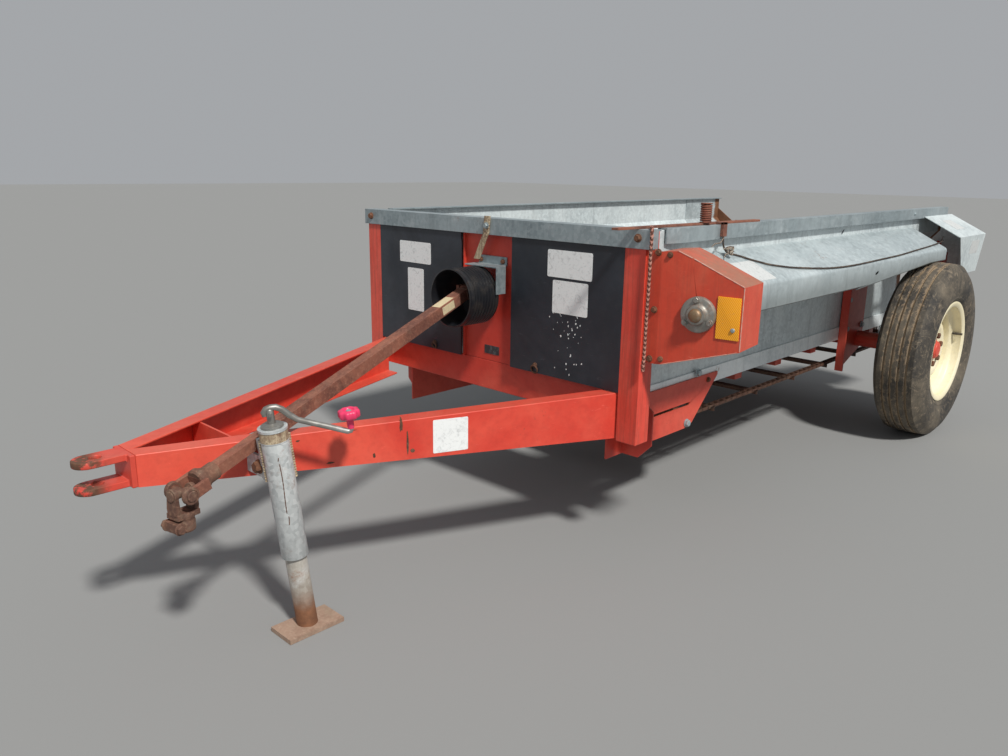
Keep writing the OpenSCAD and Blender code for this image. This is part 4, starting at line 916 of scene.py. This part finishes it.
def make_front_rings():
    """Two rusty wire rings that hang from small eyes at the panels' lower edge."""
    shape = Shape()
    for y, z, radius in ((219, 506, 12), (-242, 507, 10)):
        ring = circle(32, 1)
        path = [at(4 + 3 * up, y + radius * side, z + radius * up) for side, up in ring + ring[:1]]
        shape.tube(path, 0.0026, 8)
        shape.bolt(at(0, y, z + radius), FRONTWARD, 12, 7)
    shape.make("panel_rings", "chassis", [RUST])


def leaf(draw, count, wide, high, least, most):
    """An uneven patch: points round an oval, each at a drawn share of its reach."""
    reaches = [draw.uniform(least, most) for _ in range(count)]
    return [(wide * r * x, high * r * y) for r, (x, y) in zip(reaches, circle(count, 1))]


def make_flecks():
    """Paint flecked off the near panel below its stickers, and chips on the rail."""
    draw = random.Random(SEED)
    pale = Shape()
    for _ in range(46):
        y = draw.uniform(268, 400)
        z = 700 - 190 * draw.random() ** 1.6
        size = draw.uniform(0.8, 2.6)
        pale.prism(leaf(draw, 6, size, 1.5 * size, 0.6, 1.3), upright(0, y, z), 0.3)
    pale.make("panel_flecks", "chassis", [STICKER])
    dark = Shape()
    for x, z, wide, high in (
        (1010, 401, 9, 5), (1002, 388, 5, 8), (640, 398, 4, 7), (575, 470, 4, 22),
        (560, 420, 3, 30), (548, 396, 6, 6), (905, 468, 16, 2.5), (742, 392, 10, 3),
        (700, 470, 22, 2), (812, 458, 5, 3),
    ):
        y = RAIL_FACE[1] + (x - RAIL_FACE[0]) * RAIL_ALONG[1] / RAIL_ALONG[0]
        chip = leaf(draw, 9, wide, high, 0.65, 1.25)
        dark.prism(chip, plate_on((x, y, z), RAIL_ALONG, UPWARD), 0.3)
    dark.make("rail_chips", "chassis", [RUST])


def make_worn_edges():
    """Folded edges of the guard and post, worn through to pale primer."""
    shape = Shape()
    steps = 24
    for (s0, z0), (s1, z1) in (
        ((226, 661), (226, 821)),
        ((226, 823), (90, 883)),
        ((84, 885), (46, 900)),
        ((16, 598), (220, 658)),
    ):
        shares = [k / steps for k in range(steps + 1)]
        path = [at(*on_guard(s0 + t * (s1 - s0), z0 + t * (z1 - z0), -0.7)) for t in shares]
        radii = [0.0009 + 0.0009 * abs(math.sin(2.3 * k + s1)) for k in range(steps + 1)]
        shape.tube(path, radii, 8)
    shape.make("guard_edges", "chassis", [RED_EDGE])


make_front_rings()
make_flecks()
make_worn_edges()


def make_bearing():
    """The front guard's bearing, its dome and the reflector's screw."""
    place = facing(at(*on_guard(113, 744, 0.3)), GUARD_NORMAL)
    cast = Shape()
    profile = [
        (0, -18.3), (12.7, -18.3), (12.7, 0), (46, 0), (47, 1.5), (47, 9), (45, 12.5), (42, 14),
        (33, 14), (30, 15), (27, 18.5), (25, 23), (24, 25.5), (22, 26), (0, 26),
    ]
    cast.disc_lathe(profile, place, 72)
    for x, y in circle(3, 38.5, math.radians(95)):
        cast.bolt(spot(place, x, y, 13.5), GUARD_NORMAL, 13, 8)
    cast.make(
        "drive_bearing_cast", "chassis", [BEARING], ["drive_bearing"], angle=32
    )
    dome = Shape()
    cap = [(0, 24), (18, 24), (18, 27), (16, 31), (12.7, 34), (8, 35.6), (0, 36)]
    dome.disc_lathe(cap, place, 48)
    dome.make("drive_bearing_dome", "chassis", [BRASS], angle=50)
    screw = Shape()
    screw.bolt(at(*on_guard(206, 714, 3.3)), GUARD_NORMAL, 8, 4)
    screw.make("reflector_screw", "chassis", [ZINC_RIM])


make_bearing()


# Bell, power shaft and yoke

SHAFT_SWING = math.radians(11.9)
SHAFT_SLOPE = math.radians(16.07)
SHAFT_LENGTH = 1109.3


def make_bell():
    """The ribbed plastic bell round the input shaft."""
    profile = [(39, 0), (82, 0), (87, 1.5), (90, 5)]
    for i in range(8):
        h = 8 + 12.5 * i
        profile += [(90, h), (90, h + 3.5), (86.4, h + 5.5), (86.4, h + 9.5), (90, h + 12.3)]
    profile += [(90, 112), (89.4, 114), (89.4, 120), (90, 122), (90, 124), (88.5, 125), (86, 125)]
    profile += [(85, 122), (85, 8), (83, 5), (39, 5)]
    shape = Shape()
    shape.lathe(profile, facing(at(25, 0, 713), FRONTWARD), 96)
    shape.make("pto_bell_ribbed", "chassis", [BELL], ["pto_bell"], angle=40)


def shaft_place():
    """Placing matrix of the power shaft: first axis along the shaft, third axis up."""
    turn = Matrix.Rotation(SHAFT_SWING, 4, "Z") @ Matrix.Rotation(SHAFT_SLOPE, 4, "Y")
    return Matrix.Translation(at(75, 0, 730)) @ turn


def make_shaft_details():
    """The power shaft's blank tape, welds, bearing caps and end collar."""
    place = shaft_place()
    tape = Shape()
    tape.block((96, -14, 16.6), (168, 14, 17.5), place=place)
    tape.block((100, 16.6, -12), (160, 17.5, 12), place=place)
    tape.make("shaft_label", "pto_shaft", [CREAM_TAPE], bevel=0.0003)
    beads = Shape()
    for x, half in ((28.5, 17), (860.5, 15.5)):
        path = []
        for c, d in circle(40, 1) + [(1, 0)]:
            grow = half / max(abs(c), abs(d)) * (1 - 0.12 * abs(c * d))
            path.append(spot(place, x, grow * c, grow * d))
        beads.tube(path, 0.0028, 8)
    cap = [(0, -4), (12.5, -4), (12.5, 2), (10.5, 3.5), (0, 3.5)]
    for x in (0, SHAFT_LENGTH):
        for side in (-1, 1):
            beads.disc_lathe(cap, seat(place, x, side * 34, 0, (0, side, 0)), 32)
    boss = [(13, 0), (18, 0), (19.4, 1.5), (19.4, 9.5), (18, 11.5), (13.5, 12), (13, 10)]
    for side in (-1, 1):
        beads.lathe(boss, seat(place, SHAFT_LENGTH, side * 23.8, 0, (0, side, 0)), 48)
    collar = [
        (0, 0), (19, 0), (21, 3), (21, 26), (25, 34), (29, 40), (29, 50), (25, 53.5), (0, 53.5)
    ]
    beads.disc_lathe(collar, seat(place, SHAFT_LENGTH - 92, 0, 0, FRONTWARD), 48)
    beads.make("shaft_caps", "pto_shaft", [RUST_CAST])


def make_yoke():
    """Cast clamp yoke that hangs from the shaft's end, with the joint's cross."""
    tip = spot(shaft_place(), SHAFT_LENGTH, 0, 0)
    place = Matrix.Translation(tip) @ Matrix.Rotation(SHAFT_SWING, 4, "Z")
    shape = Shape()
    hub = [
        (17.5, 0), (20.5, 0), (22.5, 2), (23, 5), (23, 22), (21.5, 25), (21.5, 28), (23, 31),
        (23, 40), (21, 44), (0, 44), (0, 34), (17.5, 34),
    ]
    shape.disc_lathe(hub, place @ Matrix.Translation((0, 0, -0.084)), 56)
    ear = []
    for k in range(25):
        angle = math.pi * (k / 24 * 1.28 - 0.14)
        ear.append((15.5 * math.cos(angle), 15.5 * math.sin(angle) + 0.5))
    ear += [(-17, -30), (-14, -46), (14, -46), (17, -30)]
    standing = Matrix(((0, 0, 1, 0), (1, 0, 0, 0), (0, 1, 0, 0), (0, 0, 0, 1)))
    for side in (-1, 1):
        shape.prism(ear, place @ Matrix.Translation((side * 0.023 - 0.005, 0, 0)) @ standing, 10)
    shape.block((-28, -19, -52), (28, 19, -40), place=place)
    for x, y in ((29.5, 0), (0, 34.5)):
        shape.tube([spot(place, -x, -y, 0), spot(place, x, y, 0)], 0.0095, 24)
    for side in (-1, 1):
        cup = seat(place, side * 16.5, 0, 0, (side, 0, 0))
        shape.disc_lathe([(0, 0), (12, 0), (12, 13), (11, 14), (0, 14)], cup, 32)
    shape.make(
        "pto_yoke_cast", "pto_yoke", [RUST_CAST], ["pto_yoke"],
        bevel=0.0015, angle=38,
    )
    clamp = Shape()
    clamp.block((17, -20, -80), (33, 20, -58), place=place)
    clamp.tube([spot(place, 26, 26, -69), spot(place, 26, -26, -69)], 0.0065, 20)
    for side, height in ((-1, 12), (1, 10)):
        outward = place.to_3x3() @ Vector((0, side, 0))
        clamp.bolt(spot(place, 26, side * 20, -69), outward, 19, height)
    clamp.make("yoke_clamp", "pto_yoke", [RUST_CAST], bevel=0.0015, angle=38)


make_bell()
make_shaft_details()
make_yoke()


# Jack. on_jack() counts along the leaning jack's own axes

JACK_LEAN = math.radians(7)
JACK_X, JACK_Y = 846, 245
JACK_UP = (math.sin(JACK_LEAN), 0, math.cos(JACK_LEAN))
CRANK_TURN = math.radians(152)


def on_jack(x, y, z):
    sine, _, cosine = JACK_UP
    return at(JACK_X + x * cosine + z * sine, JACK_Y + y, z * cosine - x * sine)


def on_crank(reach, height):
    return on_jack(reach * math.cos(CRANK_TURN), reach * math.sin(CRANK_TURN), height)


def make_crank():
    """The jack's top cap and bent crank, with its pin and its fluted knob."""
    bar = Shape()
    cap = [(0, 0), (25.4, 0), (25.4, 4), (24, 5), (12, 5.6), (9, 8), (9, 40), (7.5, 42), (0, 42)]
    bar.disc_lathe(cap, facing(on_jack(0, 0, 535.3), JACK_UP), 40)
    bends = [
        (-12, 562), (-13, 570), (-8, 577), (2, 580), (14, 579), (26, 572), (40, 556), (56, 541),
        (90, 525), (126, 508.5), (154, 495), (164, 490.5), (170, 491), (172.5, 497), (172.5, 523),
    ]
    bar.tube([on_crank(*p) for p in bends], [0.006] + [0.0075] * 6 + [0.0068] * 8, 16)
    across = Vector((-math.sin(CRANK_TURN), math.cos(CRANK_TURN), 0)) * 0.018
    pin = on_crank(0, 566)
    bar.tube([pin - across, pin + across], 0.0036, 12)
    bar.make("jack_crank_bent", "chassis", [STEEL], ["jack_crank"], angle=45)

    knob = Shape()
    neck = [(0, 0), (7.5, 0), (8.5, 20), (12, 26), (0, 26)]
    knob.disc_lathe(neck, facing(on_crank(172, 497), JACK_UP), 32)
    place = facing(on_crank(172, 522), JACK_UP)
    lobes, steps, rings = 8, 64, []
    for r, h in [(15, 0), (23, 1.5), (26, 5), (26, 16), (24, 20), (17, 22), (13, 21.5), (11, 18)]:
        dip = 0.12 if r > 16 else 0.0
        shares = [1 - dip * (0.5 - 0.5 * math.cos(lobes * TURN * k / steps)) for k in range(steps)]
        ring = zip(shares, circle(steps, r))
        rings.append([spot(place, share * x, share * y, h) for share, (x, y) in ring])
    knob.skin(rings, [0] * (len(rings) - 1), (0, -1))
    knob.make("jack_knob", "chassis", [PINK], angle=50)
    screw = Shape()
    head = [(0, -1), (6.2, -1), (6.2, 1.2), (4.5, 2.2), (0, 2.2)]
    screw.disc_lathe(head, facing(on_crank(172, 540), JACK_UP), 24)
    screw.make("jack_knob_screw", "chassis", [ZINC_RIM])


def make_jack_trim():
    """Rings, a worn paint band, welds and a scratch on the tube, and the jack's pin."""
    ring = Shape()
    for low, thick, reach in ((528, 7, 33.6), (501, 3, 32.6)):
        profile = [(31.2, 0), (reach, 0.6), (reach, thick - 0.6), (31.2, thick)]
        ring.lathe(profile, facing(on_jack(0, 0, low), JACK_UP), 64)
    ring.make("jack_rings", "chassis", [ZINC_JACK], angle=50)
    band = Shape()
    outline = [(31.2, 0), (32.2, 0), (32.2, 24), (31.2, 24)]
    band.lathe(outline, facing(on_jack(0, 0, 504), JACK_UP), 64)
    band.make("jack_band", "chassis", [CREAM_FLAKED], angle=50)
    weld = Shape()
    bead = 1.25
    for turn, low, high in ((-35, 402, 505), (156, 402, 515)):
        x, y = 32.6 * math.cos(math.radians(turn)), 32.6 * math.sin(math.radians(turn))
        count = int((high - low) / bead)
        path = [on_jack(x, y, low + bead * k) for k in range(count)]
        weld.tube(path, [0.0044 if k % 5 in (1, 2, 3) else 0.0022 for k in range(count)], 8)
    weld.make("jack_weld", "chassis", [CREAM_FLAKED])
    scratch = Shape()
    steps = 24
    for start, end, wander in ((455, 330, 2.0), (322, 300, 0.6), (470, 462, 0.2)):
        path = []
        for k in range(steps + 1):
            share = k / steps
            angle = math.radians(64 + wander * math.sin(5 * share) - 3 * share)
            height = start + share * (end - start)
            path.append(on_jack(31.6 * math.cos(angle), 31.6 * math.sin(angle), height))
        scratch.tube(path, [0.0007 + 0.0007 * abs(math.sin(1.7 * k)) for k in range(steps + 1)], 6)
    scratch.make("jack_scratch", "chassis", [RUST_CHAIN])
    pin = Shape()
    pin.tube([at(862, 196, 425), at(932, 196, 425)], 0.008, 20)
    pin.bolt(at(922, 196, 425), FRONTWARD, 24, 14)
    pin.make("jack_pin", "chassis", [RUST], angle=40)


def make_foot():
    """A skin of dry soil on the foot plate."""
    length, width, rows, columns = 152, 86, 15, 8
    wide = columns + 1
    draw = random.Random(SEED + 1)
    top = []
    for i in range(rows + 1):
        for j in range(wide):
            x = JACK_X + length * (i / rows - 0.5)
            y = JACK_Y + width * (j / columns - 0.5)
            edge = i in (0, rows) or j in (0, columns)
            top.append(at(x, y, 12.1 + (0 if edge else draw.uniform(0.2, 2.4))))
    low = [Vector((p.x, p.y, 0.0008)) for p in top]
    n = len(top)
    faces, under = [], []
    for i in range(rows):
        for a in range(i * wide, i * wide + columns):
            faces.append((a, a + wide, a + wide + 1, a + 1))
            under.append((n + a, n + a + 1, n + a + wide + 1, n + a + wide))
    border = list(range(wide)) + [i * wide + columns for i in range(1, rows + 1)]
    border += [rows * wide + j for j in range(columns - 1, -1, -1)]
    border += [i * wide for i in range(rows - 1, 0, -1)]
    sides = [(a, b, n + b, n + a) for a, b in zip(border, border[1:] + border[:1])]
    shape = Shape()
    shape.add(top + low, faces + under + sides)
    shape.make("foot_soil", "jack_leg", [FOOT_DUST])


make_crank()
make_jack_trim()
make_foot()


def make_lever():
    """Control lever on the left rail, its spring and its stub bracket."""
    low, top, thick = 949.3, 955.3, 6
    finishes = [RUST_SHAFT, RUST_SHAFT, RUST_SPRING]
    bracket, spring = 1, 2
    forged = Shape()
    outline = [(90, 550), (90, 572), (-593, 610.5), (-593, 588.5)]
    forged.prism(outline, Matrix.Translation(at(0, 0, low)), thick)
    forged.block((-372, 612.8, 915), (-350, 622.5, top), bracket)
    forged.block((-372, 590.5, low), (-350, 622.5, top), bracket)
    turns, steps = 8, 22
    coil = []
    for k in range(turns * steps + 1):
        angle = TURN * k / steps
        rise = 2 + 50 * k / (turns * steps)
        coil.append(at(-300 + 14 * math.cos(angle), 591.5 + 14 * math.sin(angle), top + rise))
    forged.tube(coil, 0.0030, 8, spring)
    core = [(0, 0), (17, 0), (17, 2.4), (9, 3), (9, 52), (17, 53), (17, 55.7), (7, 56), (0, 56)]
    forged.disc_lathe(core, facing(at(-300, 591.5, top), UPWARD), 28, spring)
    forged.make(
        "control_lever_forged", "chassis", finishes, ["control_lever"],
        bevel=0.0006, angle=40,
    )


make_lever()


# Apron: a loop of links on each side, and slats of angle iron across them

APRON_FRONT, APRON_REAR = -450.0, -2290.0
APRON_Z, APRON_R = 341.3, 79.0
CHAIN_Y = 375.0
LINK = 84
SLATS, SLAT_STEP = 6, 330


def apron_point(run):
    """Place and heading on the chain's loop, in mm, at a distance along it."""
    straight, bend = APRON_FRONT - APRON_REAR, math.pi * APRON_R
    if run < straight:
        return APRON_REAR + run, APRON_Z + APRON_R, 0.0
    run -= straight
    if bend <= run < bend + straight:
        return APRON_FRONT - (run - bend), APRON_Z - APRON_R, math.pi
    middle = APRON_FRONT
    if run >= bend:
        run -= straight
        middle = APRON_REAR
    angle = math.pi / 2 - run / APRON_R
    x, z = middle + APRON_R * math.cos(angle), APRON_Z + APRON_R * math.sin(angle)
    return x, z, angle - math.pi / 2


def make_apron():
    """Two loops of links with the slats that they pull."""
    shape = Shape()
    total = 2 * (APRON_FRONT - APRON_REAR) + TURN * APRON_R
    links = 2 * round(total / LINK)
    pitch = total / links
    half = pitch / 2
    for side in (-1, 1):
        for k in range(links):
            x, z, heading = apron_point(k * pitch)
            place = Matrix.Translation(at(x, side * CHAIN_Y, z)) @ Matrix.Rotation(-heading, 4, "Y")
            for low, high in (
                ((-half - 2, -13, -5.5), (half + 4, -8.5, 5.5)),
                ((-half - 2, 8.5, -5.5), (half + 4, 13, 5.5)),
                ((-half - 2, -9, -5.5), (-half + 6, 9, 3.5)),
                ((half - 5, -10.5, -7), (half + 5, 10.5, 7)),
            ):
                shape.block(low, high, place=place)
    wide = CHAIN_Y + 13
    top, low = APRON_Z + APRON_R, APRON_Z - APRON_R
    for i in range(SLATS):
        x = APRON_FRONT - SLAT_STEP * i
        shape.block((x - 30, -wide, top), (x, wide, top + 5))
        shape.block((x - 5, -wide, top), (x, wide, top + 19))
        shape.block((x - 30, -wide, low - 5), (x, wide, low))
        shape.block((x - 30, -wide, low - 21), (x - 25, wide, low))
    shape.make(
        "apron_chain_links", "chassis", [RUST_CHAIN], ["apron_chain"], bevel=0.0008
    )


make_apron()


def make_shield_trim():
    """Rolled lip along the shallow part of the shield's nose, and two small tears drawn as black
    patches: painted shade inside their openings.
    """
    lip = Shape()
    section = [
        (744.9, 1.0), (744.0, -1.6), (741.5, -3.6), (736, -5), (735, -2.6), (741, -0.8),
        (742.2, 1.0),
    ]
    stations = ((-1100, 706), (-1850, 744), (-2040, 744))
    rings = [[at(x, y, z + rise) for y, rise in section] for x, z in stations]
    lip.skin(rings, [0, 0], (0, -1))
    lip.make("shield_lip", "chassis", [ZINC_SHIELD], angle=50)
    # Black patches: painted shade inside two small tears in the sheet
    tear_shade = Shape()
    outline = [(-17, 0), (-8, 4.5), (6, 5), (17, 1), (7, -3.5), (-7, -4)]
    for origin, slant in (((-1259, 745, 748), 0.25), ((-1290, 591.8, 884), 0.6)):
        tear_shade.prism(outline, plate_on(origin, (-1, 0, slant), (slant, 0, 1)), -0.4)
    tear_shade.make("sheet_tears_painted_shade", "chassis", [BLACK])


def make_knot():
    """The wire's knot below the lever's stub, and the loose ends of its twist."""
    draw = random.Random(SEED + 2)
    shape = Shape()
    for _ in range(4):
        tilt = draw.uniform(-0.8, 0.8)
        radius = draw.uniform(8, 13)
        x0 = -378 + draw.uniform(-8, 8)
        y0 = 632 + draw.uniform(-3, 3)
        z0 = 874 + draw.uniform(-7, 7)
        path = []
        for k in range(27):
            angle = TURN * k / 20
            x, z = radius * math.cos(angle), 0.55 * radius * math.sin(angle)
            path.append(at(x0 + x, y0 + 0.45 * k - 5 + tilt * x, z0 + z))
        shape.tube(path, 0.0019, 8)
    for route in (
        [(-361, 618, 912), (-330, 628, 900), (-290, 634, 899), (-262, 640, 893)],
        [(-372, 630, 880), (-345, 646, 868), (-322, 652, 870), (-300, 660, 862)],
        [(-2235, 652, 796), (-2236, 662, 812), (-2228, 668, 822), (-2215, 672, 826)],
        [(-2228, 657, 797), (-2216, 671, 806), (-2198, 678, 806), (-2184, 684, 812)],
    ):
        shape.tube(curve_through(route, 6), 0.0017, 8)
    shape.make("wire_knot", "chassis", [WIRE])


make_shield_trim()
make_knot()


# Floor, light and background

SUN_DIRECTION = (-0.28, -0.82, -1.0)


def make_stage():
    """A plain floor that reaches far past the part."""
    mesh = bpy.data.meshes.new("stage_floor")
    reach = 40
    corners = [(x * reach, y * reach, 0) for x, y in ((-1, -1), (1, -1), (1, 1), (-1, 1))]
    mesh.from_pydata(corners, [], [(0, 1, 2, 3)])
    floor = new_object("stage_floor", mesh)
    look = Look("stage_floor", roughness=0.9)
    look.shader.inputs["Base Color"].default_value = (0.27, 0.275, 0.275, 1)
    look.shader.inputs["Specular IOR Level"].default_value = 0.1
    mesh.materials.append(look.material)


def make_lamp(name, kind, power, colour, direction):
    data = bpy.data.lights.new(name, kind)
    data.energy = power
    data.color = colour
    lamp = new_object(name, data)
    lamp.rotation_mode = "QUATERNION"
    lamp.rotation_quaternion = Vector(direction).to_track_quat("-Z", "Y")
    return lamp


def make_light():
    """Sun from the left and front, a weak lamp ahead, and a pale sky all round."""
    sun = make_lamp("sun", "SUN", 3.75, (1.0, 0.97, 0.92), SUN_DIRECTION)
    sun.data.angle = math.radians(6)
    place, aim = Vector((6.5, 2.5, 4.2)), Vector((0.3, 0.0, 0.5))
    fill = make_lamp("front_fill", "AREA", 10, (0.94, 0.97, 1.0), aim - place)
    fill.location = place
    fill.data.shape = "DISK"
    fill.data.size = 4.0
    world = bpy.data.worlds.new("world")
    bpy.context.scene.world = world
    world.use_nodes = True
    background = world.node_tree.nodes["Background"]
    background.inputs["Color"].default_value = (0.93, 0.96, 1.0, 1)
    background.inputs["Strength"].default_value = 0.40


make_stage()
make_light()
bpy.context.scene.view_settings.view_transform = "Standard"
